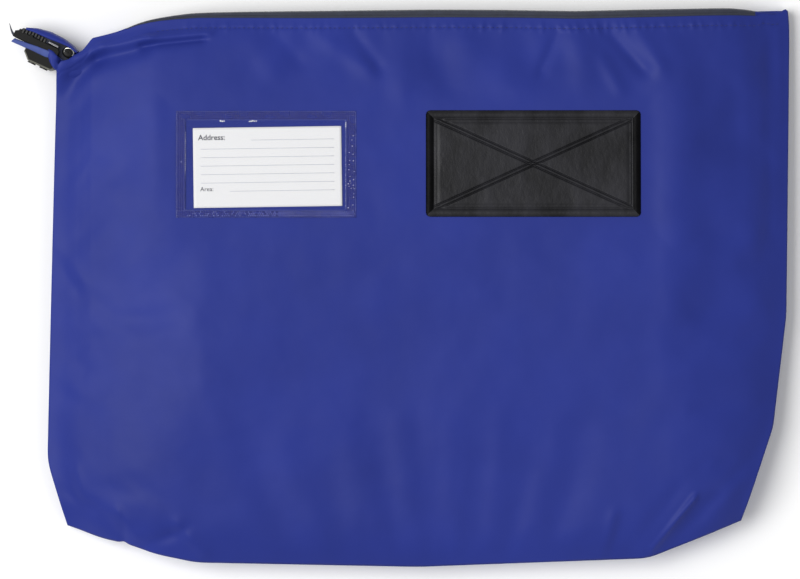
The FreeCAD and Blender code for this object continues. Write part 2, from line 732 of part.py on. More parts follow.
def front_hem():
    """The turned edge of the front panel, behind the zip tape."""
    top = "-(tape_thickness + 2*layer_gap)"
    inner = "mouth_y - hem_depth"
    outer = "mouth_y - hem_edge_inset"
    corners = [
        (inner, shoulder_line(inner, f"{top} - skin")),
        (outer, shoulder_line(outer, f"{top} - skin")),
        (outer, shoulder_line(outer, top)),
        (inner, shoulder_line(inner, top)),
    ]
    extrude_x("front_hem", corners, "tape_left_x", "tape_right_x")


def zip_tape_front():
    """From under the front panel, out past its edge and back down to the chain."""
    inner = "mouth_y - front_tape_lap"
    top = "-layer_gap"
    edge = "chain_z + chain_half_width + layer_gap"
    half = "tape_thickness/2"
    corners = [
        (inner, shoulder_line(inner, f"{top} - tape_thickness")),
        ("mouth_y", shoulder_line("mouth_y", f"{top} - tape_thickness")),
        ("tape_bulge_y - tape_thickness", "tape_bulge_z"),
        (f"chain_y - {half}", "chain_z + tape_knee_inner"),
        (f"chain_y - {half}", edge),
        (f"chain_y + {half}", edge),
        (f"chain_y + {half}", "chain_z + tape_knee_outer"),
        ("tape_bulge_y", "tape_bulge_z - tape_fall"),
        ("mouth_y + tape_fall", shoulder_line("mouth_y + tape_fall", top)),
        (inner, shoulder_line(inner, top)),
    ]
    extrude_x("zip_tape_front", corners, "tape_left_x", "tape_right_x")


def panel_sheet(label, low_y, high_y, low_shift, high_shift, low_x, high_x):
    """A sheet that lies parallel to the front panel."""
    corners = [
        (low_y, crowned(low_y, low_shift)),
        (high_y, crowned(high_y, low_shift)),
        (high_y, crowned(high_y, high_shift)),
        (low_y, crowned(low_y, high_shift)),
    ]
    arcs = {0: crown_arc(low_shift), 2: crown_arc(high_shift)}
    return extrude_x(label, corners, low_x, high_x, arcs)


def window_film():
    """The clear pocket: welded along its top, bottom and right, open on its left."""
    weld = "skin + layer_gap"
    under = "skin + film_gap"
    over = "skin + film_gap + film_thickness"
    low = "window_low_y"
    high = "window_high_y"
    low_in = "window_low_y + weld_width"
    high_in = "window_high_y - weld_width"
    corners = [
        (low, crowned(low, weld)),
        (low_in, crowned(low_in, weld)),
        (low_in, crowned(low_in, under)),
        (high_in, crowned(high_in, under)),
        (high_in, crowned(high_in, weld)),
        (high, crowned(high, weld)),
        (high, crowned(high, over)),
        (low, crowned(low, over)),
    ]
    arcs = {0: crown_arc(weld), 2: crown_arc(under), 4: crown_arc(weld), 6: crown_arc(over)}
    body = extrude_x("window_film", corners, "window_left_x", "window_right_x", arcs)
    doc.recompute()
    end = new_sketch(body, "end_weld", "YZ_Plane", "window_right_x - weld_width")
    draw_outline(end, [
        (low, crowned(low, weld)),
        (high, crowned(high, weld)),
        (high, crowned(high, over)),
        (low, crowned(low, over)),
    ], {0: crown_arc(weld), 2: crown_arc(over)})
    add_pad(body, end, "weld_width", "end_weld_pad")


def black_patch():
    panel_sheet("black_patch", "patch_low_y", "patch_high_y", "skin + layer_gap",
                "skin + layer_gap + patch_thickness", "patch_left_x", "patch_right_x")


def address_card():
    panel_sheet("address_card", "card_low_y", "card_high_y", "skin + card_gap",
                "skin + card_gap + card_thickness", "card_left_x", "card_right_x")


# ---------------------------------------------------------------- slider and pull

def slider_plate(sketch, side):
    """One plate with its two lips; side is +1 for the outer plate."""
    wide = "slider_half_width"
    inner = f"chain_y + ({side})*plate_gap"
    outer = f"chain_y + ({side})*(plate_gap + plate_thickness)"
    lip = f"chain_y + ({side})*lip_gap"
    draw_outline(sketch, [
        (lip, f"chain_z - {wide}"),
        (outer, f"chain_z - {wide}"),
        (outer, f"chain_z + {wide}"),
        (lip, f"chain_z + {wide}"),
        (lip, f"chain_z + {wide} - lip_width"),
        (inner, f"chain_z + {wide} - lip_width"),
        (inner, f"chain_z - {wide} + lip_width"),
        (lip, f"chain_z - {wide} + lip_width"),
    ])


def slider_body():
    body = new_body("slider_body")
    start = "slider_x - slider_half_length"
    outer = new_sketch(body, "outer_plate", "YZ_Plane", start)
    slider_plate(outer, "1")
    add_pad(body, outer, "2*slider_half_length", "outer_pad")
    doc.recompute()
    post = new_sketch(body, "post", "YZ_Plane", start)
    draw_outline(post, [
        ("chain_y - plate_gap - post_overlap", "chain_z - post_half_width"),
        ("chain_y + plate_gap + post_overlap", "chain_z - post_half_width"),
        ("chain_y + plate_gap + post_overlap", "chain_z + post_half_width"),
        ("chain_y - plate_gap - post_overlap", "chain_z + post_half_width"),
    ])
    add_pad(body, post, "slider_half_length*post_share", "post_pad")
    doc.recompute()
    inner = new_sketch(body, "inner_plate", "YZ_Plane", start)
    slider_plate(inner, "-1")
    add_pad(body, inner, "2*slider_half_length", "inner_pad")


def slider_bridge():
    """The bridge on the outer plate, which holds the pull's pin."""
    body = new_body("slider_bridge")
    sketch = new_sketch(body, "side_view", "XY_Plane", "chain_z - bridge_width/2")
    plate = "chain_y + plate_gap + plate_thickness + bridge_lift"
    draw_outline(sketch, [
        ("slider_x - bridge_foot", plate),
        ("slider_x - bridge_knee", plate),
        ("slider_x - bridge_inside", f"{plate} + bridge_rise - bridge_bar"),
        ("slider_x + bridge_inside", f"{plate} + bridge_rise - bridge_bar"),
        ("slider_x + bridge_knee", plate),
        ("slider_x + bridge_foot", plate),
        ("slider_x + bridge_knee", f"{plate} + bridge_rise"),
        ("slider_x - bridge_knee", f"{plate} + bridge_rise"),
    ])
    add_pad(body, sketch, "bridge_width")


def pull_tab():
    """A flat tab with a window that hangs on the bridge; it lies along the chain, to +X."""
    body = new_body("pull_tab")
    face = "chain_y + plate_gap + plate_thickness + pull_lift"
    sketch = new_sketch(body, "plate", "XZ_Plane", f"-({face})")
    half = "pull_width/2"
    draw_outline(sketch, [
        ("slider_x - pull_back", f"chain_z - {half}"),
        ("slider_x + pull_length - pull_corner", f"chain_z - {half}"),
        ("slider_x + pull_length", f"chain_z - {half} + pull_chamfer"),
        ("slider_x + pull_length", f"chain_z + {half} - pull_chamfer"),
        ("slider_x + pull_length - pull_corner", f"chain_z + {half}"),
        ("slider_x - pull_back", f"chain_z + {half}"),
    ])
    draw_outline(sketch, [
        ("slider_x", "chain_z - pull_slot_half"),
        ("slider_x + pull_slot_length", "chain_z - pull_slot_half"),
        ("slider_x + pull_slot_length", "chain_z + pull_slot_half"),
        ("slider_x", "chain_z + pull_slot_half"),
    ])
    add_pad(body, sketch, "pull_thickness")


def build():
    back_panel()
    base_gusset()
    left_gusset()
    right_gusset()
    back_hem()
    zip_tape_back()
    zip_teeth("zip_teeth_back", "-1", "tooth_pitch/2 + tooth_start")
    zip_end_stop()
    top_stop("top_stop_back", "-1")
    tail_strip()
    lock_base()
    lock_cover()
    lock_rivets()
    tail_tab()
    root_rivet()
    front_panel()
    front_hem()
    zip_tape_front()
    zip_teeth("zip_teeth_front", "1", "tooth_start")
    top_stop("top_stop_front", "1")
    window_film()
    black_patch()
    address_card()
    slider_body()
    slider_bridge()
    pull_tab()
    doc.recompute()


def sub_parts():
    """Every body and every top-level Part object, which is one node each."""
    used = set()
    for thing in doc.Objects:
        if thing.TypeId == "Part::MultiFuse":
            used.update(shape.Name for shape in thing.Shapes)
    kinds = ("PartDesign::Body", "Part::MultiFuse")
    return [thing for thing in doc.Objects if thing.TypeId in kinds and thing.Name not in used]


def write_parts():
    for thing in doc.Objects:
        if "Invalid" in thing.State or "Error" in thing.State:
            raise RuntimeError(f"{thing.Label} failed: {thing.State}")
    os.makedirs("parts", exist_ok=True)
    for part in sub_parts():
        shape = part.Shape
        if shape.isNull() or not shape.isValid():
            raise RuntimeError(f"{part.Label} has no valid shape")
        shape.exportStep(f"parts/{part.Label}.step")
        box = shape.BoundBox
        low = ", ".join(f"{v:.1f}" for v in (box.XMin, box.YMin, box.ZMin))
        high = ", ".join(f"{v:.1f}" for v in (box.XMax, box.YMax, box.ZMax))
        print(f"{part.Label}: {len(shape.Solids)} solids, {shape.Volume:.1f} mm3, ({low}) to ({high})")


build()
write_parts()
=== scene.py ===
import math
import random

import bmesh
import bpy
import numpy as np
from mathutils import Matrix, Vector
from mathutils.bvhtree import BVHTree


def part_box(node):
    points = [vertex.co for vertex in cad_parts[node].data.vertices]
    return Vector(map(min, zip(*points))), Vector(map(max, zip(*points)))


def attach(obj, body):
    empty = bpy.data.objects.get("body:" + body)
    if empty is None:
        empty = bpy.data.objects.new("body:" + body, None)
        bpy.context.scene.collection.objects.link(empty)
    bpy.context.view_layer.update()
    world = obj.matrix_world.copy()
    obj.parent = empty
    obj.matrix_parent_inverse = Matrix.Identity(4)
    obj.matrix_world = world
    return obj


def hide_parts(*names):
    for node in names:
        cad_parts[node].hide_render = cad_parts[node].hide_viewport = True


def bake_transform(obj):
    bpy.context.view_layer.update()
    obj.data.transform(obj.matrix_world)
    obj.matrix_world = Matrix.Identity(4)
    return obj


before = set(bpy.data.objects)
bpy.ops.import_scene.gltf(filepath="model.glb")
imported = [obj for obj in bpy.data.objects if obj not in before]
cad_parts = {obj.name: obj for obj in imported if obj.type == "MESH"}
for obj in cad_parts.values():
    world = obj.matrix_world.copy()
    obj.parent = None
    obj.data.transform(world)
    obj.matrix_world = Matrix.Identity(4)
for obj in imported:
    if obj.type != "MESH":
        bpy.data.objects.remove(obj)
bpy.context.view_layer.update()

# Lengths in this script are millimetres in the row frame; MM turns them into metres.
MM = 0.001


def box_mm(node):
    low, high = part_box(node)
    return np.array(low) / MM, np.array(high) / MM


# ---- materials

def srgb(red, green, blue):
    """A linear colour from 0 to 255 display values."""
    def linear(value):
        value /= 255
        return value / 12.92 if value <= 0.04045 else ((value + 0.055) / 1.055) ** 2.4
    return (linear(red), linear(green), linear(blue), 1.0)


class Material:
    """A Principled material with chained bumps and colour variation in object space."""

    def __init__(self, name, color, roughness, **sockets):
        self.material = bpy.data.materials.new(name)
        self.material.use_nodes = True
        self.nodes = self.material.node_tree.nodes
        self.links = self.material.node_tree.links
        self.shader = self.nodes["Principled BSDF"]
        self.color = color
        sockets.update(Base_Color=color, Roughness=roughness)
        for socket, value in sockets.items():
            self.shader.inputs[socket.replace("_", " ")].default_value = value
        self.place = self.nodes.new("ShaderNodeTexCoord").outputs["Object"]
        self.last_normal = None

    def add(self, kind, source, socket="Vector", **inputs):
        """A node with these input values, and a link from the source to one of its sockets."""
        node = self.nodes.new("ShaderNode" + kind)
        for name, value in inputs.items():
            node.inputs[name.replace("_", " ")].default_value = value
        self.links.new(source, node.inputs[socket])
        return node

    def stretched(self, scale, turn=0.0):
        mapping = self.add("Mapping", self.place, Scale=scale, Rotation=(0, 0, turn))
        return mapping.outputs["Vector"]

    def noise(self, size, detail, roughness=0.5, vector=None):
        """Noise with features about size millimetres across."""
        node = self.add("TexNoise", vector or self.place, Scale=1 / (size * MM), Detail=detail,
                        Roughness=roughness)
        return node.outputs["Fac"]

    def bands(self, pitch, direction):
        """Straight ribs, pitch millimetres apart, along X, Y, Z or DIAGONAL."""
        node = self.add("TexWave", self.place, Scale=math.pi / (10 * pitch * MM), Distortion=0.0)
        node.bands_direction = direction
        return node.outputs["Fac"]

    def bump(self, height, depth, strength):
        """A bump of depth millimetres, on top of the ones before it."""
        node = self.add("Bump", height, "Height", Strength=strength, Distance=depth * MM)
        if self.last_normal:
            self.links.new(self.last_normal, node.inputs["Normal"])
        self.last_normal = node.outputs["Normal"]
        self.links.new(self.last_normal, self.shader.inputs["Normal"])

    def vary_color(self, value, dark, light, low=0.3, high=0.7):
        """Base colour between dark and light multiples of the material's own colour."""
        node = self.add("ValToRGB", value, "Fac")
        for end, place, share in zip(node.color_ramp.elements, (low, high), (dark, light)):
            end.position = place
            end.color = [min(1.0, c * share) for c in self.color[:3]] + [1.0]
        self.links.new(node.outputs["Color"], self.shader.inputs["Base Color"])

    def vary_roughness(self, value, low, high):
        node = self.add("MapRange", value, "Value", To_Min=low, To_Max=high)
        self.links.new(node.outputs["Result"], self.shader.inputs["Roughness"])


def finish(name, color, roughness, tone, grain=None, bumps=(), **sockets):
    """A material from its bumps, (size, detail or direction of ribs, depth, strength) in
    millimetres; the noise in its colour, (size, detail, dark, light); and the noise in its
    roughness, (size, detail, low, high)."""
    m = Material(name, color, roughness, **sockets)
    for size, kind, depth, strength in bumps:
        pattern = m.bands(size, kind) if isinstance(kind, str) else m.noise(size, kind)
        m.bump(pattern, depth, strength)
    size, detail, *limits = tone
    m.vary_color(m.noise(size, detail), *limits)
    if grain:
        size, detail, low, high = grain
        m.vary_roughness(m.noise(size, detail), low, high)
    return m.material


def steel(name, color, roughness):
    """Plated steel with fine rubbing marks."""
    m = Material(name, color, roughness, Metallic=1.0)
    m.bump(m.noise(1.4, 4, 0.6, m.stretched((0.3, 1, 2))), 0.02, 0.4)
    m.vary_roughness(m.noise(2.5, 4), roughness * 0.7, roughness * 1.4)
    m.vary_color(m.noise(6, 3), 0.88, 1.05)
    return m.material


def black_vinyl(name, color, shine):
    """Black grained vinyl: leather-like pebbles and soft slanting creases."""
    m = Material(name, color, 0.4, Specular_IOR_Level=shine)
    slanted = m.stretched((1.5, 0.8, 1), math.radians(-32))
    creases = m.noise(26, 5, 0.6, slanted)
    m.bump(creases, 1.5, 0.4)
    m.bump(m.noise(5, 4, 0.6, slanted), 0.45, 0.5)
    grain = m.add("TexVoronoi", m.place, Scale=1 / (1.1 * MM))
    m.bump(grain.outputs["Distance"], 0.08, 0.4)
    m.vary_color(creases, 0.5, 1.55, 0.36, 0.66)
    m.vary_roughness(m.noise(9, 4), 0.36, 0.55)
    return m.material


def film(name, color, alpha, roughness, knurl=()):
    """Clear pressed PVC film."""
    material = finish(name, color, roughness, (14, 3, 0.9, 1.05),
                      (5, 3, roughness * 0.6, roughness * 1.6), [(9, 3, 0.35, 0.5), *knurl],
                      Alpha=alpha, Specular_IOR_Level=0.5)
    material.surface_render_method = "BLENDED"
    return material


# Blue PVC-coated nylon: semi-matt, with the base cloth's weave showing faintly.
FABRIC = finish(
    "blue_coated_fabric", srgb(37, 49, 127), 0.5, (70, 4, 0.92, 1.08), (25, 4, 0.42, 0.56),
    [(38, 2, 1.8, 0.5), (7, 3, 0.18, 0.4), (0.62, "X", 0.012, 0.35), (0.62, "Y", 0.012, 0.35)],
    Specular_IOR_Level=0.13)
# A paler, plainly woven copy of the blue fabric: painted highlight for the light that falls on the
# tail's strip.
FABRIC_PAINTED_HIGHLIGHT = finish(
    "blue_fabric_painted_highlight", srgb(70, 84, 146), 0.66, (8, 4, 0.85, 1.15),
    bumps=[(0.62, "X", 0.05, 0.6), (0.62, "Z", 0.05, 0.6)], Specular_IOR_Level=0.2)
THREAD = finish(
    "sewing_thread", srgb(34, 43, 112), 0.6, (2, 2, 0.8, 1.2),
    bumps=[(0.35, "DIAGONAL", 0.1, 0.8)])
# Dark grey woven zip tape with fine lengthwise ribs.
TAPE = finish(
    "zip_tape_weave", srgb(37, 41, 56), 0.72, (4, 4, 0.86, 1.12), bumps=[(0.9, "X", 0.06, 0.6),
    (0.55, "Z", 0.06, 0.6), (0.6, 2, 0.05, 0.5)], Sheen_Weight=0.1, Sheen_Roughness=0.5)
TEETH = finish(
    "moulded_teeth", srgb(15, 15, 14), 0.32, (5, 3, 0.85, 1.15), (3, 3, 0.26, 0.44),
    [(0.9, 3, 0.03, 0.4)], Specular_IOR_Level=0.4)
ZIP_METAL = steel("zip_gunmetal", srgb(120, 120, 124), 0.32)
PULL_METAL = steel("pull_gunmetal", srgb(105, 105, 108), 0.3)
RIVET_METAL = steel("rivet_bright_steel", srgb(214, 214, 206), 0.18)
DARK_METAL = steel("rivet_black_oxide", srgb(52, 52, 50), 0.34)
# Black moulded plastic with a fine spark-eroded texture, and a lighter grey-olive copy for its bevelled
# edge: a painted highlight.
LOCK = finish(
    "black_moulded_plastic", srgb(9, 9, 8), 0.3, (9, 3, 0.8, 1.2), (4, 4, 0.28, 0.46),
    [(0.5, 2, 0.015, 0.4)], Specular_IOR_Level=0.14)
LOCK_EDGE_HIGHLIGHT = finish(
    "plastic_edge_painted_highlight", srgb(86, 86, 74), 0.42, (4, 4, 0.55, 1.25, 0.35, 0.65),
    bumps=[(0.7, 3, 0.03, 0.5)], Specular_IOR_Level=0.5)
VINYL = black_vinyl("black_grained_vinyl", srgb(28, 28, 32), 0.22)
# A darker, duller copy of the vinyl for the patch's left and right border bands: painted shade.
VINYL_PAINTED_SHADE = black_vinyl("black_vinyl_painted_shade", srgb(8, 8, 10), 0.05)
FILM = film("clear_film", srgb(60, 68, 130), 0.04, 0.12)
WELD = film(
    "welded_film", srgb(42, 50, 138), 0.42, 0.24, [(1.5, "X", 0.25, 0.8), (1.5, "Y", 0.25, 0.8)])
# Pale film for the weld beads, the film's rim and the knurl dots: a painted highlight.
FILM_EDGE_HIGHLIGHT = film("film_edge_painted_highlight", srgb(116, 124, 190), 0.6, 0.15)
# Near-white film for small dots along the welds: painted glints.
FILM_PAINTED_GLINT = film("film_painted_glints", (0.95, 0.96, 1.0, 1.0), 0.8, 0.1)
PAPER = finish(
    "card_paper", srgb(232, 232, 231), 0.62, (12, 4, 0.985, 1.0), bumps=[(0.35, 3, 0.012, 0.6)])
INK = finish("card_ink", srgb(60, 60, 66), 0.6, (0.7, 2, 0.85, 1.15))
RULE_INK = finish("card_rules", srgb(194, 196, 204), 0.6, (0.7, 2, 0.85, 1.15))
FLOOR = finish("pale_floor", srgb(246, 246, 246), 0.9, (300, 3, 0.99, 1.0))


# ---- mesh helpers

def mesh_object(name, points, faces, material, smooth=True):
    """An object from points in millimetres."""
    mesh = bpy.data.meshes.new(name)
    mesh.from_pydata([tuple(p) for p in np.asarray(points, float) * MM], [], faces)
    mesh.update()
    mesh.materials.append(material)
    mesh.polygons.foreach_set("use_smooth", [smooth] * len(mesh.polygons))
    thing = bpy.data.objects.new(name, mesh)
    bpy.context.collection.objects.link(thing)
    return thing


def grid_faces(rows, columns):
    corner = np.arange(rows * columns).reshape(rows, columns)
    quads = np.stack([corner[:-1, :-1], corner[:-1, 1:], corner[1:, 1:], corner[1:, :-1]], -1)
    return quads.reshape(-1, 4).tolist()


def grid_object(name, points, material):
    """A sheet from an array of points, rows by columns."""
    rows, columns = points.shape[:2]
    return mesh_object(name, points.reshape(-1, 3), grid_faces(rows, columns), material)


def thicken(thing, thickness, offset=-1.0):
    solid = thing.modifiers.new("thickness", "SOLIDIFY")
    solid.thickness = thickness * MM
    solid.offset = offset
    return thing


def soften_edges(thing, width, segments=3):
    bevel = thing.modifiers.new("edges", "BEVEL")
    bevel.width = width * MM
    bevel.segments = segments
    bevel.limit_method = "ANGLE"
    bevel.angle_limit = math.radians(35)
    return thing


def turns(count):
    return [2 * math.pi * k / count for k in range(count)]


def tube_faces(rings, sides, closed=False, capped=False):
    """Faces of a tube whose points come ring by ring."""
    faces = [[i * sides + k, i * sides + (k + 1) % sides, (i + 1) % rings * sides + (k + 1) % sides,
              (i + 1) % rings * sides + k]
             for i in range(rings if closed else rings - 1) for k in range(sides)]
    if capped:
        last = (rings - 1) * sides
        faces += [list(range(sides))[::-1], list(range(last, last + sides))]
    return faces


SQUARE = ((-1, -1), (1, -1), (1, 1), (-1, 1))
# The faces of a block whose corners come in two loops of four.
BLOCK_FACES = [[0, 1, 2, 3], [7, 6, 5, 4], [0, 4, 5, 1], [1, 5, 6, 2], [2, 6, 7, 3], [3, 7, 4, 0]]


def belongs(piece, slot, body, *nodes):
    """The piece's finish, which is not used; the body that it rides on, if only one; and the nodes it
    stands for.
    """
    if nodes:
        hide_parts(*nodes)
    if body:
        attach(piece, body)


def joined(name, parts, material, smooth=True):
    """One mesh from several (points, faces) pairs."""
    points = []
    faces = []
    for some_points, some_faces in parts:
        first = len(points)
        points.extend(some_points)
        faces.extend([[first + i for i in face] for face in some_faces])
    return mesh_object(name, points, faces, material, smooth)


def ease(value):
    value = np.clip(value, 0.0, 1.0)
    return value * value * (3 - 2 * value)


def blur(values, width):
    """A smooth copy of a grid, blurred over width cells both ways, with its edges held."""
    kernel = np.exp(-0.5 * (np.arange(-3 * width, 3 * width + 1) / width) ** 2)
    kernel /= kernel.sum()
    padded = np.pad(values, 3 * width, mode="edge")
    rows = np.apply_along_axis(lambda line: np.convolve(line, kernel, "valid"), 0, padded)
    return np.apply_along_axis(lambda line: np.convolve(line, kernel, "valid"), 1, rows)


# ---- the bag's outline, from the frame

def panel_corners():
    """The back panel's outline corners, anticlockwise from its leftmost one."""
    vertices = [np.array(v.co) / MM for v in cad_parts["back_panel"].data.vertices]
    flat = np.array(sorted({(round(v[0], 2), round(v[1], 2)) for v in vertices}))
    middle = (flat.min(0) + flat.max(0)) / 2
    angle = np.arctan2(flat[:, 1] - middle[1], flat[:, 0] - middle[0])
    order = flat[np.argsort(angle)]
    return np.roll(order, -int(np.argmin(order[:, 0])), axis=0)


(LEFT_LOW, LEFT_CORNER, BASE_LEFT, BASE_MIDDLE, BASE_RIGHT, RIGHT_CORNER, RIGHT_LOW, RIGHT_MID,
 RIGHT_TOP, MOUTH_LEFT, MOUTH_DIP, TAIL_SHOULDER, LEFT_TOP) = panel_corners()
TAPE_LOW = box_mm("zip_tape_front")[0]
CHAIN_LOW, CHAIN_HIGH = box_mm("zip_teeth_back")
WINDOW_LOW, WINDOW_HIGH = box_mm("window_film")
PATCH_LOW, PATCH_HIGH = box_mm("black_patch")
CARD_LOW, CARD_HIGH = box_mm("address_card")
STRIP_LOW, STRIP_HIGH = box_mm("tail_strip")
SKIN = box_mm("back_panel")[1][2]


def smooth_line(points, count, rounding):
    """count points along a polyline, evenly spaced, with its corners rounded."""
    points = np.asarray(points, float)
    steps = np.linalg.norm(np.diff(points, axis=0), axis=1)
    place = np.concatenate([[0], np.cumsum(steps)])
    even = np.linspace(0, place[-1], count)
    line = np.stack([np.interp(even, place, points[:, k]) for k in range(points.shape[1])], 1)
    width = max(1, int(rounding / (place[-1] / count)))
    kernel = np.hanning(2 * width + 3)[1:-1]
    kernel /= kernel.sum()
    for k in range(line.shape[1]):
        ends = np.pad(line[:, k], width, mode="reflect", reflect_type="odd")
        line[:, k] = np.convolve(ends, kernel, "valid")
    return line


COLUMNS = 400
ROWS = 210
HEM_ROWS = 40
HEM_DEPTH = 18.0


def row_places():
    """Places of the rows from base to mouth, closer together along the hem."""
    height = RIGHT_TOP[1] - BASE_MIDDLE[1]
    hem = HEM_DEPTH / height
    body = np.linspace(0, 1 - hem, ROWS - HEM_ROWS, endpoint=False)
    return np.concatenate([body, np.linspace(1 - hem, 1, HEM_ROWS)])


def base_line(count):
    """The base seam from corner to corner, with the small overlap at its left gusset fold."""
    line = smooth_line([LEFT_CORNER, BASE_LEFT, BASE_MIDDLE, BASE_RIGHT, RIGHT_CORNER], count, 14)
    fold = BASE_LEFT[0] - 49
    line[:, 1] -= 1.6 * np.exp(-((line[:, 0] - fold + 16) / 15) ** 2)
    line[:, 1] -= 1.5 * np.exp(-((line[:, 0] - fold - 22) / 16) ** 2)
    line[:, 1] += 1.2 * np.exp(-((line[:, 0] - fold) / 2.5) ** 2)
    return line


# The mouth edge, as offsets from the CAD corners that it passes.
MOUTH_EDGE = [
    (LEFT_TOP, [(0.6, 6), (3.4, 9.8), (9.7, 11.6), (12.7, 13.9), (15.6, 15.9)]),
    (TAIL_SHOULDER, [(-6.7, -3.8), (-4.2, -0.8), (0, 4.7), (6.7, 6.2), (15, 8.3),
        (23.3, 10.6)]),
    (MOUTH_DIP, [(-8.4, -0.9), (0, 0.9), (8.2, 2.2)]),
    (MOUTH_LEFT, [(-33.5, -2), (-16.8, -0.8), (20, -0.8), (60, -1), (110, -0.7),
        (150, -0.4), (205, -0.7), (244, -1.4), (290, -0.4)]),
    (RIGHT_TOP, [(-62, 0.8), (-38, 1.2), (-23, 1.2), (-18.5, 3.2), (-10, 2.2),
        (-6.5, 3.4), (-2.2, 5.9), (-1, 5)]),
]


def past_corners(edge):
    return [corner + np.array(offset) for corner, offsets in edge for offset in offsets]


def mouth_line(count):
    """The front panel's top edge, from the tail corner to the horn over the right gusset."""
    return smooth_line(past_corners(MOUTH_EDGE), count, 1.2)


def left_line(count):
    return smooth_line([LEFT_CORNER, LEFT_LOW, LEFT_TOP, past_corners(MOUTH_EDGE)[0]], count, 14)


def right_line(count):
    points = [RIGHT_CORNER, RIGHT_LOW, RIGHT_MID, RIGHT_TOP + np.array([0, -14]),
              RIGHT_TOP + np.array([-0.2, -2]), past_corners(MOUTH_EDGE)[-1]]
    return smooth_line(points, count, 8)


def panel_plan(places):
    """XY of the panel grid, with its rows at these places: a patch stretched between its
    four edges."""
    u = np.linspace(0, 1, COLUMNS)[None, :, None]
    v = places[:, None, None]
    fine = 2000

    def at(line, where):
        return np.stack([np.interp(where, np.linspace(0, 1, fine), line[:, k]) for k in (0, 1)], 1)
    base = at(base_line(fine), u.ravel())[None]
    mouth = at(mouth_line(fine), u.ravel())[None]
    left = at(left_line(fine), places)[:, None]
    right = at(right_line(fine), places)[:, None]
    corners = ((1 - u) * (1 - v) * base[0, 0] + u * (1 - v) * base[0, -1]
               + (1 - u) * v * mouth[0, 0] + u * v * mouth[0, -1])
    return (1 - v) * base + v * mouth + (1 - u) * left + u * right - corners


# ---- front panel

def surface_tree(thing):
    graph = bpy.context.evaluated_depsgraph_get()
    return BVHTree.FromObject(thing, graph)


# Rays for heights start here, in metres, well above the bag.
ABOVE = 0.2
DOWN = Vector((0, 0, -1))


def heights_on(tree, plan):
    """Height of a surface at each XY of a grid, in millimetres, by rays from above."""
    result = np.zeros(plan.shape[:2])
    for index in np.ndindex(result.shape):
        x, y = plan[index] * MM
        hit = tree.ray_cast(Vector((x, y, ABOVE)), DOWN)[0]
        if hit is None:
            hit = tree.find_nearest(Vector((x, y, 0.02)))[0]
        result[index] = hit.z / MM
    return result


def calm(plan, low, high, margin):
    """0 inside a rectangle of the panel, rising to 1 over a margin round it."""
    outside_x = np.maximum(low[0] - plan[..., 0], plan[..., 0] - high[0])
    outside_y = np.maximum(low[1] - plan[..., 1], plan[..., 1] - high[1])
    return ease(np.maximum(outside_x, outside_y) / margin)


# Folds and dents of the front panel: start and end, half width and height, in millimetres.
FOLDS = [
    # the ridge that runs from the tail along the mouth, with the crease under it
    (-245, 154.5, -233, 160.5, 4.6, 2.6), (-233, 160.5, -220, 166.8, 4.2, 4.2),
    (-220, 166.8, -186, 172.5, 4.2, 4.2), (-186, 172.5, -146, 175.8, 3.2, 3.4),
    (-246, 136, -241, 145, 6, -3), (-240, 146.5, -223, 158, 6, -4.6),
    (-222, 158.5, -190, 166, 4.8, -3.8), (-190, 167.6, -150, 171.8, 2.6, -3.2),
    (-249, 126, -240, 140, 9, -1.6),
    # drapes that hang from the hem
    (-70, 176, -36, 152, 6.5, 1.5), (-44, 175, -28, 153, 4.5, -1.6),
    (-96, 172, -84, 158, 5, -0.9), (-118, 174, -100, 150, 8, 0.9),
    (-16, 174, -12, 140, 9, 1), (8, 170, 20, 140, 9, -1),
    (30, 174, 66, 136, 13, 1.6), (96, 176, 85, 150, 4, -1.6),
    (108, 172, 112, 150, 9, 1.4), (131, 178, 154, 152, 4.6, -2.2),
    (150, 182, 166, 154, 6, 1.9), (128, 156, 138, 138, 5, 1.2),
    # soft upright bands right of the patch
    (172, 165, 178, -20, 13, 1.1), (196, 170, 199, 20, 12, -1.4),
    (224, 175, 230, 30, 8, 1.1), (243, 176, 244, 40, 5, -1.2),
    (250, 180, 252, 120, 3, 1),
    # creases that point into the base corners
    (162, -180, 190, -145, 2.3, 3), (172, -180, 203, -148, 7, -3.4),
    (150, -178, 178, -140, 6, -1.2), (205, -152, 228, -132, 6, 1.4),
    (134, -158, 126, -189, 4, 0.9), (140, -160, 133, -189, 4.5, -0.9),
    (-164, -166, -150, -182, 5, 3), (-190, -179, -164, -168, 4.5, -3),
    (-207, -156, -196, -170, 4, 1.8), (-217, -160, -206, -173, 4, -1.8),
    (-237, -128, -233, -146, 4.5, 1.2), (-247, -141, -226, -152, 4.5, -1.4),
    # short creases at the left seam
    (-252, 31, -234, 8, 4.6, 0.9), (-252, 20, -236, -2, 5, -0.9),
    (-254, -40, -232, -54, 6, -0.8), (-254, -58, -236, -72, 6, 0.7),
    # broad hollows of the empty pouch
    (-120, -20, 90, -60, 60, -2), (-190, -110, -120, -60, 34, 1.4),
    (110, -120, 170, -40, 40, -1.6), (-200, 60, -190, 120, 26, 1.2),
]


def fold_heights(plan):
    total = np.zeros(plan.shape[:2])
    for x, y, end_x, end_y, width, height in FOLDS:
        along = np.array([end_x - x, end_y - y], float)
        length = np.linalg.norm(along)
        along /= length
        offset = plan - np.array([x, y], float)
        place = offset @ along
        across = offset @ np.array([-along[1], along[0]])
        beyond = np.maximum(np.maximum(-place, place - length), 0)
        total += height * np.exp(-(across / width) ** 2 - (beyond / (1.4 * width)) ** 2)
    return total


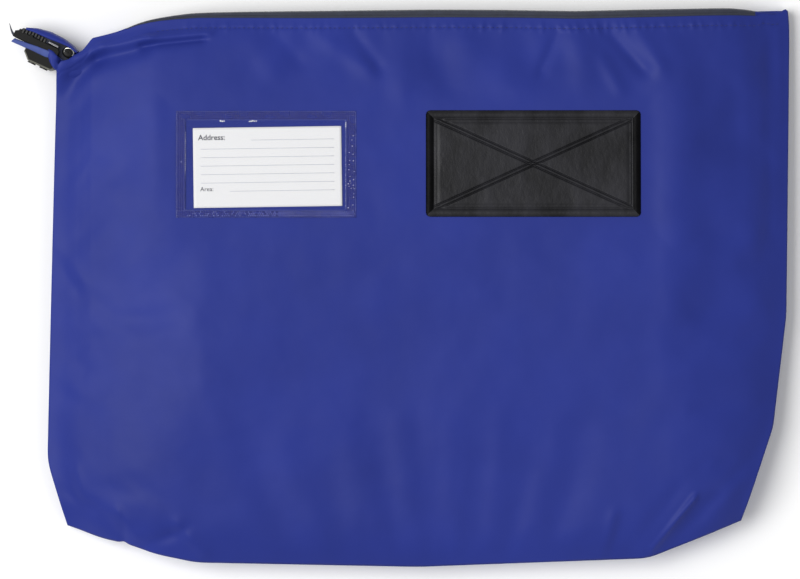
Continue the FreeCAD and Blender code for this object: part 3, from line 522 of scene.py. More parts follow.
def swells(plan, count, longest, shortest, height, seed):
    """Gentle swells of a lying sheet: a sum of seeded waves."""
    draw = random.Random(seed)
    total = np.zeros(plan.shape[:2])
    for _ in range(count):
        length = draw.uniform(shortest, longest)
        turn = draw.uniform(0, math.pi)
        phase = draw.uniform(0, 2 * math.pi)
        wave = plan[..., 0] * math.cos(turn) + plan[..., 1] * math.sin(turn)
        total += np.sin(2 * math.pi * wave / length + phase) * length / longest
    return height * total / math.sqrt(count)


# The hem's stitching: its depth under the mouth, its thread, and the puckers that it pulls.
HEM_LINE = 7.0
STITCH_PITCH = 3.3
STITCH_LENGTH = 2.4
PUCKER_PITCH = 6.6


def hem_puckers(plan):
    """The stitched groove under the mouth, and the small puckers that the stitches pull."""
    edge = np.interp(plan[..., 0], *mouth_line(600).T)
    depth = edge - plan[..., 1]
    draw = random.Random(11)
    total = -0.3 * np.exp(-((depth - HEM_LINE) / 1.2) ** 2)
    for centre in np.arange(TAPE_LOW[0], RIGHT_TOP[0] - 14, PUCKER_PITCH):
        place = centre + draw.uniform(-1.2, 1.2)
        strength = draw.uniform(0.2, 1.0) * (0.5 if place < 40 else 1.0)
        reach = draw.uniform(2.0, 4.2)
        lean = draw.uniform(-0.3, 0.3)
        across = plan[..., 0] - place - lean * (depth - HEM_LINE)
        down = np.exp(-((depth - HEM_LINE + 0.4) / reach) ** 2)
        total = total + 1.15 * strength * np.exp(-(across / 1.4) ** 2) * down
    return total


def settle(points, held, growth, pressure, cap):
    """Cloth simulation of a sheet held at some of its points.  It wants to be larger than the
    edge that it is sewn to, and air lifts it; no point moves further than the cap."""
    thing = grid_object("settling_sheet", points, FABRIC)
    group = thing.vertex_groups.new(name="sewn")
    group.add([int(i) for i in np.flatnonzero(held.ravel())], 1.0, "REPLACE")
    cloth = thing.modifiers.new("cloth", "CLOTH")
    for setting, value in (
            ("quality", 6), ("mass", 0.25), ("tension_stiffness", 25), ("compression_stiffness", 25),
            ("shear_stiffness", 12), ("bending_stiffness", 0.6), ("vertex_group_mass", "sewn"),
            ("shrink_min", -growth), ("use_pressure", True), ("uniform_pressure_force", pressure)):
        setattr(cloth.settings, setting, value)
    cloth.settings.effector_weights.gravity = 0.0
    cloth.collision_settings.use_collision = False
    cloth.point_cache.frame_start = 1
    cloth.point_cache.frame_end = SIM_FRAMES
    scene = bpy.context.scene
    for number in range(1, SIM_FRAMES + 1):
        scene.frame_set(number)
    graph = bpy.context.evaluated_depsgraph_get()
    settled = thing.evaluated_get(graph).data
    result = np.empty(len(settled.vertices) * 3)
    settled.vertices.foreach_get("co", result)
    result = result.reshape(points.shape) / MM
    bpy.data.objects.remove(thing, do_unlink=True)
    scene.frame_set(1)
    moved = result - points
    length = np.linalg.norm(moved, axis=-1, keepdims=True)
    return moved * np.minimum(1.0, cap / np.maximum(length, 1e-6))


SIM_ROWS = 74
SIM_COLUMNS = 98
SIM_FRAMES = 20
# Buckles wider than this many cells are left out, and the rest are scaled by the gain.
BUCKLE_SPAN = 34
BUCKLE_GAIN = 1.1


def settled_lift(plan, height):
    """The buckles that the cloth simulation adds to the panel, on the panel's own grid."""
    rows = np.linspace(0, ROWS - 1, SIM_ROWS).round().astype(int)
    columns = np.linspace(0, COLUMNS - 1, SIM_COLUMNS).round().astype(int)
    pick = np.ix_(rows, columns)
    coarse = np.dstack([plan[pick], height[pick]])
    held = np.zeros(coarse.shape[:2], bool)
    held[[0, -1], :] = True
    held[:, [0, -1]] = True
    moved = settle(coarse, held, growth=0.006, pressure=0.9, cap=7.0)
    lifted = np.stack([np.interp(np.arange(COLUMNS), columns, line) for line in moved[..., 2]])
    full = blur(np.stack([np.interp(np.arange(ROWS), rows, line) for line in lifted.T], 1), 2)
    return BUCKLE_GAIN * (full - blur(full, BUCKLE_SPAN))


def at_rows(values, places):
    """A grid with evenly spaced rows, read at other row places."""
    even = np.linspace(0, 1, len(values))
    return np.stack([np.interp(places, even, line) for line in values.T], 1)


# The panel's outline shrunk by this much about the origin lies wholly on the CAD sheet, whose
# creases are rounded over this many cells.
INSIDE = 0.992
CAD_BLUR = 9
# How the corner beside the tail climbs to the height of the tail.
CORNER_RISE = 9.0
CORNER_REACH = 15.0
# How the panel turns down at its base seam.
BASE_DROP = 10.0
BASE_REACH = 13
# The widths over which folds, and the broader buckles, fade towards the window and the patch.
CALM_FOLDS = 16
CALM_BUCKLES = 60


def front_surface():
    """The front panel's outer face: the CAD sheet with its creases rounded, settled as cloth,
    then folded, puckered and turned down at its seams."""
    places = row_places()
    even = panel_plan(np.linspace(0, 1, ROWS))
    cad = heights_on(surface_tree(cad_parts["front_panel"]), even * INSIDE)
    rounded = blur(cad, CAD_BLUR)
    lift = settled_lift(even, rounded)
    plan = panel_plan(places)
    height = at_rows(rounded, places)
    base_depth = plan[..., 1] - np.interp(plan[..., 0], *base_line(600).T)
    height = height - BASE_DROP * np.exp(-(np.maximum(base_depth, 0) / BASE_REACH) ** 1.2)
    still, still_wide = [calm(plan, WINDOW_LOW, WINDOW_HIGH, margin)
                         * calm(plan, PATCH_LOW, PATCH_HIGH, margin)
                         for margin in (CALM_FOLDS, CALM_BUCKLES)]
    change = fold_heights(plan)
    change += swells(plan, count=12, longest=45, shortest=18, height=0.16, seed=8)
    edge = ease(np.minimum(plan[..., 0] - plan[:, :1, 0], plan[:, -1:, 0] - plan[..., 0]) / 22)
    mouth_depth = np.interp(plan[..., 0], *mouth_line(600).T) - plan[..., 1]
    firm = 0.45 + 0.55 * ease(np.minimum(base_depth, mouth_depth) / 34)
    broad = at_rows(lift, places)
    broad += swells(plan, count=9, longest=170, shortest=60, height=0.9, seed=5)
    height += (still * change + still_wide * broad) * (0.3 + 0.7 * edge) * firm
    height += hem_puckers(plan)
    away = np.linalg.norm(plan - (LEFT_TOP + np.array([2.0, 9.0])), axis=2)
    height += CORNER_RISE * np.exp(-(away / CORNER_REACH) ** 2)
    return np.dstack([plan, height])


FRONT = front_surface()


def front_panel():
    shell = thicken(grid_object("front_shell", FRONT, FABRIC), SKIN)
    belongs(shell, "blue_fabric", None, "front_panel", "front_hem")
    return shell


front_shell = front_panel()
FRONT_TREE = surface_tree(front_shell)


# ---- back panel and gussets

def back_surface():
    """The back panel's underside: flat on the table, with its edges just lifting."""
    plan = panel_plan(row_places())[::3, ::3]
    inside = np.minimum(plan[..., 0] - plan[:, :1, 0], plan[:, -1:, 0] - plan[..., 0])
    lift = 1.1 * (1 - ease(inside / 26)) + 0.25 * (1 + np.sin(plan[..., 0] / 31 + plan[..., 1] / 44))
    return np.dstack([plan, lift * 0.8])


BACK = back_surface()


def back_panel():
    shell = thicken(grid_object("back_shell", BACK, FABRIC), SKIN, 1.0)
    belongs(shell, "blue_fabric", "bag", "back_panel")


def wall_between(upper, lower, folds, depth_at):
    """A folded wall from an upper seam to a lower one.  Its middle is pushed aside by
    depth_at(place) times a V that folds gives across the wall."""
    rows = []
    for share in folds:
        middle = 1 - abs(2 * share - 1)
        bend = math.sin(middle * math.pi / 2) ** 0.8
        rows.append(upper * (1 - share) + lower * share + depth_at * bend)
    return np.stack(rows)


def resample(line, count):
    places = np.linspace(0, len(line) - 1, count)
    return np.stack([np.interp(places, np.arange(len(line)), line[:, k]) for k in range(3)], 1)


SIDE_DEPTH = 31.0


def blend_up(piece):
    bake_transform(piece)


def side_gussets():
    """The side strips, folded inwards between the panels' side seams."""
    count = 150
    place = np.linspace(0, 1, count)
    depth = SIDE_DEPTH * ease(place / 0.12) * (0.93 + 0.07 * np.sin(place * 23))
    for name, node, column, inward, body in (("left_bellows", "left_gusset", 0, 1, "bag"),
                                             ("right_bellows", "right_gusset", -1, -1, None)):
        push = np.zeros((count, 3))
        push[:, 0] = inward * depth
        upper = resample(FRONT[:, column], count) + np.array([inward * 0.5, 0, -SKIN])
        lower = resample(BACK[:, column], count) + np.array([inward * 0.5, 0, SKIN])
        wall = wall_between(upper, lower, np.linspace(0, 1, 19), push)
        wall[1:-1, :, 2] += 0.35 * np.sin(place * 61)[None, :]
        gusset = thicken(grid_object(name, wall, FABRIC), SKIN * 0.7, 0)
        belongs(gusset, "blue_fabric", body, node)
        if not body:
            blend_up(gusset)


def base_walls():
    """The base gusset, creased along its middle, in two pieces that meet off centre."""
    count = 300
    upper = resample(FRONT[0], count) + np.array([0, 0.4, -SKIN])
    lower = resample(BACK[0], count) + np.array([0, 0.8, SKIN])
    place = np.linspace(0, 1, count)
    depth = 9.0 * ease(np.minimum(place, 1 - place) / 0.16)
    push = np.zeros((count, 3))
    push[:, 1] = depth
    wall = wall_between(upper, lower, np.linspace(0, 1, 25), push)
    wall[1:-1, :, 1] += 0.6 * np.sin(place * 57 + 1)[None, :]
    split = int(count * 0.64)
    left = thicken(grid_object("base_gusset_left", wall[:, :split + 1], FABRIC), SKIN, 0)
    right = thicken(grid_object("base_gusset_right", wall[:, split:], FABRIC), SKIN, 0)
    belongs(left, "blue_fabric", "bag", "base_gusset")
    belongs(right, "blue_fabric", None)
    blend_up(right)


# ---- zip closure

def mouth_edge(x):
    """The front panel's top edge at x: (y, z of its outer face)."""
    edge = FRONT[-1]
    return np.interp(x, edge[:, 0], edge[:, 1]), np.interp(x, edge[:, 0], edge[:, 2])


CHAIN_Y = (CHAIN_LOW[1] + CHAIN_HIGH[1]) / 2
# The bead of each row lies between these distances from the chain's middle line.
BEAD_NEAR = 2.3
BEAD_FAR = 3.4
CHAIN_Z = box_mm("zip_teeth_front")[1][2] - BEAD_FAR


def closure_path(x):
    """The closure's middle line at x: (y, z), straight along the chain and dipping to the tail
    on the left and into the gusset on the right."""
    edge_y, edge_z = mouth_edge(x)
    left = ease((TAPE_LOW[0] - x) / 40)
    right = ease((x - CHAIN_HIGH[0] - 4) / 30)
    aside = np.maximum(left, right)
    y = CHAIN_Y * (1 - aside) + (edge_y - 0.8) * aside
    z = CHAIN_Z * (1 - right) + (edge_z * 0.5) * right
    return y, z


# The outermost line of the front tape, as offsets from the CAD corners that it passes.
TAPE_EDGE = [
    (LEFT_TOP, [(-4, -8)]),
    (TAIL_SHOULDER, [(-2, 0)]),
    (MOUTH_LEFT, [(-76, -11.6), (-66.7, -8.2), (-58.4, -4.7), (-50, -2.2), (-42, -0.6),
        (-33.5, 0.8), (-22, 2.3), (-8, 3), (20, 3.5), (68, 4), (144, 5),
        (190, 4.8), (244, 3.9), (290, 5)]),
    (RIGHT_TOP, [(-62, 5.8), (-42, 6.2), (-31, 5.6), (-24, 4.5), (-18, 3.4),
        (-8, 2.4), (0, 2.4)]),
]
TAPE_LINE = smooth_line(past_corners(TAPE_EDGE), 500, 6)


def silhouette(x):
    """The Y of the front tape's outermost line, which never lies behind the hem."""
    return max(np.interp(x, *TAPE_LINE.T), mouth_edge(x)[0] + 0.15)


def shell_under(x, depth):
    """A point just under the front shell, depth in from its mouth edge."""
    y = mouth_edge(x)[0] - depth
    return y, surface_z(x, y) - SKIN - 1.0


def closure_line(x, half_gap, upper, inset):
    """(y, z) points at x, from under the panel's hem round to the chain, for the front
    (upper) tape or the back one."""
    edge_y, edge_z = mouth_edge(x)
    mid_y, mid_z = closure_path(x)
    out_y = silhouette(x)
    swell = out_y - edge_y
    if not upper:
        return [
            (edge_y - inset - 3, 2 * SKIN + 0.4), (edge_y - 3.0, 2 * SKIN + 0.5),
            (min(out_y - 1.0, mid_y + 2.0), mid_z * 0.25 + 0.6),
            (mid_y + 1.6, mid_z * 0.6 - 0.5), (mid_y, mid_z - half_gap - 1.4),
            (mid_y, mid_z - half_gap),
        ]
    top = edge_z - SKIN
    return [
        shell_under(x, inset), shell_under(x, inset / 2), (edge_y - 0.4, top - 0.5),
        (edge_y + 0.25 * swell, top - 0.2), (edge_y + 0.36 * swell, top - 1.5),
        (edge_y + 0.55 * swell, top - 0.5), (edge_y + 0.8 * swell, top - 1.3),
        (out_y, top - 4.2), (out_y - 0.1 * swell, top * 0.6 + mid_z * 0.4),
        (mid_y + 1.4, mid_z + half_gap + 3.0), (mid_y, mid_z + half_gap + 1.2),
        (mid_y, mid_z + half_gap),
    ]


def closure_half(xs, half_gap, upper, inset):
    """Rows of points of a tape, from the panel's hem round to the chain."""
    rounding = 1.1 if upper else 2.0
    lines = [smooth_line(closure_line(x, half_gap, upper, inset), 48, rounding) for x in xs]
    points = np.zeros((48, len(xs), 3))
    points[..., 0] = xs
    points[..., 1:] = np.stack(lines, 1)
    return points


def hold_at_tail(piece):
    """Bakes the piece's placement into its mesh."""
    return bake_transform(piece)


# Half the gap between the two tapes along the chain, and between the corner covers.
TAPE_GAP = 2.4
CORNER_GAP = 0.2


def closure_covers():
    """Tape along the chain, and the fabric that carries it to the tail and into the gusset."""
    tape = (np.linspace(TAPE_LOW[0] - 46, RIGHT_TOP[0] - 18, 340), TAPE_GAP, 9.0, TAPE, 0.6, "zip_tape")
    cloth = (CORNER_GAP, 5.0, FABRIC, 0.8, "blue_fabric")
    tail = (np.linspace(STRIP_HIGH[0] + 2.0, TAPE_LOW[0] - 42, 60), *cloth)
    gusset = (np.linspace(RIGHT_TOP[0] - 24, RIGHT_TOP[0] - 2, 40), *cloth)
    for name, upper, look, nodes in (
            ("front_tape", True, tape, ["zip_tape_front"]),
            ("back_tape", False, tape, ["zip_tape_back", "back_hem"]),
            ("tail_corner_upper", True, tail, []), ("tail_corner_lower", False, tail, []),
            ("gusset_corner_upper", True, gusset, []), ("gusset_corner_lower", False, gusset, [])):
        xs, gap, inset, material, thickness, slot = look
        piece = grid_object(name, closure_half(xs, gap, upper, inset), material)
        belongs(thicken(piece, thickness, 0), slot, None if upper else "bag", *nodes)
        if upper:
            hold_at_tail(piece)


TOOTH_PITCH = 3.2
# Where the heads of each row end, over the chain's middle line.  The back row leaves room for the
# slider's post, and the front row's heads reach in between its teeth.
FRONT_TIP = -1.1
BACK_TIP = 0.55


def tooth(x, side, tip):
    """One moulded tooth, from its neck in the bead to its wider head: (distance from the
    chain's middle line, half depth, half width) of each ring."""
    profile = [
        (BEAD_FAR, 1.15, 0.62), (2.2, 1.2, 0.62), (tip + 1.5, 1.15, 0.55),
        (tip + 0.9, 1.3, 0.74), (tip + 0.35, 1.2, 0.76), (tip, 0.8, 0.5),
    ]
    points = [(x + a * wide, CHAIN_Y + b * deep, CHAIN_Z + side * reach)
              for reach, deep, wide in profile for a, b in SQUARE]
    return points, tube_faces(len(profile), 4, capped=True)


def chain():
    """Both rows of teeth, half a pitch apart, each on its bead."""
    for name, node, side, phase, tip, body in (
            ("front_chain", "zip_teeth_front", 1, 0.8, FRONT_TIP, "front"),
            ("back_chain", "zip_teeth_back", -1, 0.8 + TOOTH_PITCH / 2, BACK_TIP, "bag")):
        places = np.arange(CHAIN_LOW[0] + phase, CHAIN_HIGH[0] - 1.2, TOOTH_PITCH)
        parts = [tooth(x, side, tip) for x in places]
        bead = [(x, CHAIN_Y + across, CHAIN_Z + side * reach) for x in (CHAIN_LOW[0], CHAIN_HIGH[0])
                for across, reach in ((-1, BEAD_NEAR), (1, BEAD_NEAR), (1, BEAD_FAR), (-1, BEAD_FAR))]
        parts.append((bead, BLOCK_FACES))
        row = soften_edges(joined(name, parts, TEETH, False), 0.18, 2)
        belongs(row, "zip_teeth", body, node)


# CAD pieces that keep their shape: their finish, and the width of their softened edges.
METAL_PIECES = {
    "slider_body": (ZIP_METAL, 0.45), "slider_bridge": (ZIP_METAL, 0.4),
    "pull_tab": (PULL_METAL, 0.45), "zip_end_stop": (ZIP_METAL, 0.35),
    "top_stop_front": (ZIP_METAL, 0.3), "top_stop_back": (ZIP_METAL, 0.3),
    "lock_base": (LOCK, 1.3), "lock_cover": (LOCK, 0.45),
    "lock_rivets": (DARK_METAL, 0.25), "root_rivet": (RIVET_METAL, 0.35),
}
MERGE = 0.001


def metal_pieces():
    """Softened edges, after a weld of the split corners, and a painted highlight on the bevelled edges
    of the lock's base.
    """
    for node, (material, width) in METAL_PIECES.items():
        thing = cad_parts[node]
        thing.data.materials.clear()
        thing.data.materials.append(material)
        thing.modifiers.new("weld", "WELD").merge_threshold = MERGE * MM
        soften_edges(thing, width)
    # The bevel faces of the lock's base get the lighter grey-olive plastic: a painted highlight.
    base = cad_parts["lock_base"]
    base.data.materials.append(LOCK_EDGE_HIGHLIGHT)
    base.modifiers["edges"].material = 1


def stitches():
    """Lockstitch along the front hem, one short thread at a time."""
    xs = np.arange(TAPE_LOW[0] - 20, RIGHT_TOP[0] - 6, STITCH_PITCH)
    parts = [thread_stitch(x, mouth_edge(x)[0] - HEM_LINE, STITCH_LENGTH) for x in xs]
    row = joined("hem_stitches", parts, THREAD)
    belongs(row, "blue_fabric", None)
    hold_at_tail(row)


def surface_z(x, y):
    """Height of the front panel's outer face."""
    hit = FRONT_TREE.ray_cast(Vector((x * MM, y * MM, ABOVE)), DOWN)[0]
    return hit.z / MM if hit else 0.0


def thread_stitch(x, y, length):
    """A rounded bar that dips into the fabric at both ends."""
    rings = 7
    sides = 6
    points = []
    for ring in range(rings):
        share = ring / (rings - 1)
        along = x + (share - 0.5) * length
        arch = math.sin(share * math.pi)
        radius = 0.08 + 0.16 * arch ** 0.5
        middle = surface_z(along, y) - 0.12 + 0.24 * arch
        points += [(along, y + radius * math.cos(turn), middle + radius * math.sin(turn))
                   for turn in turns(sides)]
    return points, tube_faces(rings, sides, capped=True)


# ---- tail

def tail_frame():
    """The tail's root, and its outward and sideways directions, from its CAD strip."""
    points = np.array([np.array(v.co)[:2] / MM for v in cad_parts["tail_strip"].data.vertices])
    centre = (points.min(0) + points.max(0)) / 2
    far = points[np.argmin(points[:, 0])]
    near = points[np.argmin(points[:, 1])]
    outward = (far - near) / np.linalg.norm(far - near)
    sideways = np.array([outward[1], -outward[0]])
    along = (points - centre) @ outward
    across = (points - centre) @ sideways
    root = centre + outward * along.min() + sideways * across.mean()
    return root, outward, sideways


# The tail's own frame: u runs out along the strip, v away from the base, and its origin is this
# far from the middle of the strip's root.
TAIL_ROOT, TAIL_U, TAIL_V = tail_frame()
TAIL_TOP = STRIP_HIGH[2]
TAIL_LOW = STRIP_LOW[2]
ORIGIN_U = 6.0
ORIGIN_V = 2.25


def tail_point(u, v, z):
    """Row-frame point of the tail's frame."""
    x, y = TAIL_ROOT + TAIL_U * (u + ORIGIN_U) + TAIL_V * (v + ORIGIN_V)
    return (x, y, z)


def tail_surface(name, lines, thickness, nodes=(), columns=70, rounding=2.0, material=FABRIC,
                 slot="blue_fabric"):
    """A sheet through several (u, v, z) lines of the tail, each of them smoothed."""
    rows = [smooth_line(line, columns, rounding) for line in lines]
    stack = np.stack(rows)
    across = max(12, 6 * len(lines))
    fine = np.stack([smooth_line(stack[:, k], across, 0.8) for k in range(columns)], 1)
    points = np.array([[tail_point(*spot) for spot in row] for row in fine])
    sheet = thicken(grid_object(name, points, material), thickness, 0)
    belongs(sheet, slot, "bag", *nodes)


def corner_heights(row):
    """Heights for a line that starts on top of the lock and ends just under the bag's panel."""
    lock_top = TAIL_TOP - 1.0
    heights = [lock_top - 1.0, lock_top, lock_top - 0.2]
    for u, v in row[3:]:
        x, y, _ = tail_point(u, v, 0)
        heights.append(max(surface_z(x, y), 0.8 * TAIL_TOP) - 0.6)
    return [(u, v, z) for (u, v), z in zip(row, heights)]


def levels(line, z):
    return [(u, v, z) for u, v in line]


def dipping(line, z):
    """A level line that dives under the corner fold at the tail's root."""
    return [(u, v, z - 0.6 * max(0.0, 7.5 - u)) for u, v in line]


def tail_fabric():
    """The strip between the lock halves, the tab arched over the cover, the bag's own corner
    folded round the tail's root, and the strip's frayed tip."""
    top = TAIL_TOP
    low = TAIL_LOW
    strip_top = [(33.6, -3.8), (27, -2.2), (19.1, -1.2), (9.2, -0.2), (3.0, -0.6), (-4.0, -2.2)]
    strip_low = [(34.2, -4.9), (27, -4.7), (19.1, -4.6), (9.2, -4.8), (5.0, -5.0), (-1.5, -6.0)]
    foot = [(33.0, -2.6), (27, -2.4), (19.1, -2.3), (9.2, -2.3), (3.0, -2.3), (-5.0, -2.3)]
    # The strip is in the paler copy of the blue fabric: a painted highlight.
    tail_surface("tail_strip_fabric", [
        levels(foot, low), levels(foot, 0.55 * top), dipping(foot, top - 2.2),
        dipping(strip_top, top - 0.6), dipping(strip_low, top - 1.5), dipping(strip_low, top - 4.5),
    ], 1.0, ["tail_strip"], material=FABRIC_PAINTED_HIGHLIGHT)
    inner = [(28.6, 6.9), (23.2, 7.6), (12.3, 7.7), (3.6, 8.3), (-3.0, 8.5), (-9.9, 6.9)]
    crest = [(28.9, 7.4), (22.2, 9.6), (12.5, 10.8), (2.8, 10.6), (-3.7, 9.6), (-10.1, 7.2)]
    outer = [(28.8, 7.5), (21.9, 10.3), (12.6, 12.0), (2.4, 11.6), (-4.0, 10.3), (-10.4, 7.4)]
    tail_surface("tail_tab_fabric", [
        levels(inner, top - 2.2), levels(inner, top - 0.9), levels(crest, top - 2.6),
        levels(outer, top - 7.5), levels(outer, 0.5 * top), levels(outer, low + 1.0),
    ], 1.1, ["tail_tab"])
    corner = [
        [(8.6, 0.7), (5.4, 0.4), (1.3, -1.2), (-2.2, -2.8), (-5.0, -2.9)],
        [(8.5, -0.6), (5.2, -1.6), (1.2, -3.2), (-2.2, -4.5), (-5.4, -4.6)],
        [(7.6, -2.6), (4.6, -3.9), (1.0, -5.3), (-2.2, -6.2), (-5.8, -6.3)],
        [(5.6, -4.9), (3.0, -6.2), (0.2, -7.4), (-2.6, -8.1), (-6.2, -8.1)],
        [(3.6, -6.9), (1.8, -8.3), (-0.4, -9.4), (-2.8, -10.0), (-6.4, -9.8)],
    ]
    corner = [corner_heights(row) for row in corner]
    inner_wall = [(u, v + 0.3, 0.45 * z) for u, v, z in corner[0]]
    outer_wall = [(u, v - 0.3, 0.3 * z) for u, v, z in corner[-1]]
    tail_surface("tail_corner_fold", [inner_wall, *corner, outer_wall], 0.9, (), 60, 1.5)
    spike_low = [(33.5, -1.6, top - 4.0), (36.0, -0.6, top - 4.5), (38.2, 1.6, top - 5.0),
                 (40.9, 5.4, top - 5.5)]
    spike_high = [(33.3, 1.2, top - 3.0), (35.2, 0.8, top - 3.6), (37.4, 2.2, top - 4.4),
                  (40.9, 5.6, top - 5.4)]
    tail_surface("tail_tip", [spike_low, spike_high], 0.35, (), 30, 1.0, TAPE, "zip_tape")


def tail_chain():
    """The zip's own end, folded along the lock cover: a run of teeth on a strip of tape."""
    high = TAIL_TOP - 4.0
    near = [(32.0, 2.0, high), (23.0, 2.4, high), (12.0, 2.4, high), (5.0, 2.2, high - 1),
            (0.6, -0.8, high - 3), (-3.2, -3.0, high - 4), (-8.0, 0.6, high - 5)]
    far = [(31.0, 6.6, high), (23.2, 8.2, high), (12.3, 8.6, high), (5.0, 8.6, high - 1),
           (0.8, 8.8, high - 3), (-4.0, 8.8, high - 4), (-10.2, 7.2, high - 5)]
    tail_surface("tail_zip_tape", [near, far], 0.6, (), 60, 2.0, TAPE, "zip_tape")
    parts = []
    draw = random.Random(4)
    for step in range(8):
        u = 13.6 + 2.3 * step
        v = 5.0 + 0.9 * math.sin(step * 0.45) + draw.uniform(-0.3, 0.3)
        half = (0.75, 1.4 + 0.35 * (step % 2), 0.8)
        z = TAIL_TOP - 2.4 + draw.uniform(-0.3, 0.3)
        corners = [(u + a * half[0], v + b * half[1], z + c * half[2])
                   for c in (-1, 1) for a, b in SQUARE]
        parts.append(([tail_point(*spot) for spot in corners], BLOCK_FACES))
    row = soften_edges(joined("tail_teeth", parts, TEETH, False), 0.3, 2)
    belongs(row, "zip_teeth", "bag")
    bar = [(u, v, z) for z in (TAIL_TOP - 4.0, TAIL_TOP - 1.3)
           for u, v in ((2.6, 3.9), (10.8, 4.3), (10.6, 6.3), (2.8, 6.0))]
    latch = mesh_object("tail_latch", [tail_point(*spot) for spot in bar], BLOCK_FACES, PULL_METAL,
                        False)
    belongs(soften_edges(latch, 0.7, 4), "zip_metal", "bag")


# The eyelet at the zip's folded end: its middle in the tail's frame, radius and wire radius.
EYELET = (-4.8, 4.5)
EYELET_RADIUS = 3.5
EYELET_WIRE = 0.72
EYELET_TILT = 0.5


def eyelet():
    """A bright ring that leans on a black pad, so that only its upper half stands clear."""
    level = TAIL_TOP - 6.0
    rings = 56
    sides = 12

    def spot(turn, reach, rise, tilt):
        across = 0.8 * reach * math.sin(turn)
        return tail_point(EYELET[0] + reach * math.cos(turn), EYELET[1] + across,
                          level + rise + tilt * across)
    points = [spot(turn, EYELET_RADIUS + EYELET_WIRE * math.cos(roll), EYELET_WIRE * math.sin(roll),
                   EYELET_TILT) for turn in turns(rings) for roll in turns(sides)]
    faces = [[a, d, c, b] for a, b, c, d in tube_faces(rings, sides, closed=True)]
    belongs(mesh_object("tail_eyelet", points, faces, RIVET_METAL), "rivet_steel", "bag")
    pad = [[spot(turn, share * (EYELET_RADIUS + 1.3), 0.4 - 0.9 * share ** 4, 0.0)
            for turn in np.linspace(0, 2 * math.pi, 49)] for share in np.linspace(0.02, 1.0, 10)]
    base = thicken(grid_object("tail_eyelet_pad", np.array(pad), LOCK), 0.8, -1)
    belongs(base, "lock_plastic", "bag")


# ---- window, card and patch

def laid_sheet(name, low, high, columns, rows, material, rise):
    """A sheet over a rectangle of the front panel; rise(x, y) is its height above it."""
    points = np.zeros((rows, columns, 3))
    for i, y in enumerate(np.linspace(low[1], high[1], rows)):
        for j, x in enumerate(np.linspace(low[0], high[0], columns)):
            points[i, j] = (x, y, surface_z(x, y) + rise(x, y))
    return grid_object(name, points, material)


WELD_WIDTH = 6.0
BOTTOM_WELD = 4.9
FILM_RISE = 1.35


def film_rise(x, y):
    """The film's height above the panel: pressed down along its welds, raised over the card,
    and open along its left edge."""
    inside = min(WINDOW_HIGH[0] - WELD_WIDTH - x, y - WINDOW_LOW[1] - BOTTOM_WELD,
                 WINDOW_HIGH[1] - WELD_WIDTH - y)
    ripple = 0.12 * math.sin(x / 3.1) * math.sin(y / 2.3 + x / 9)
    return 0.34 + (FILM_RISE - 0.34) * float(ease(inside / 1.6)) + ripple * float(ease(-inside / 2))


def window():
    clear = laid_sheet("window_clear", WINDOW_LOW, WINDOW_HIGH, 220, 140, FILM, film_rise)
    clear.data.materials.append(WELD)
    inner_low = WINDOW_LOW[:2] + np.array([WELD_WIDTH, BOTTOM_WELD])
    inner_high = WINDOW_HIGH[:2] - WELD_WIDTH
    for face in clear.data.polygons:
        x, y = face.center[0] / MM, face.center[1] / MM
        inside = inner_low[0] < x < inner_high[0] and inner_low[1] < y < inner_high[1]
        face.material_index = 0 if inside else 1
    thicken(clear, 0.3, -1)
    belongs(clear, "clear_film", "front", "window_film")


def bead(name, line, radius, rise, material):
    """A thin bead of film laid along a line on the front panel."""
    sides = 5
    points = [(x + radius * math.cos(turn), y + 0.6 * radius * math.cos(turn),
               surface_z(x, y) + rise + radius * math.sin(turn))
              for x, y in line for turn in turns(sides)]
    thing = mesh_object(name, points, tube_faces(len(line), sides), material)
    belongs(thing, "clear_film", "front")


def dots(name, places, material):
    """Small pressed bumps of film."""
    parts = []
    sides = 6
    for x, y, radius in places:
        base = surface_z(x, y) + 0.36
        ring = [(x + radius * math.cos(turn), y + radius * math.sin(turn), base)
                for turn in turns(sides)]
        top = (x - 0.2 * radius, y + 0.2 * radius, base + 0.6 * radius)
        parts.append((ring + [top], [[k, (k + 1) % sides, sides] for k in range(sides)]))
    belongs(joined(name, parts, material), "clear_film", "front")


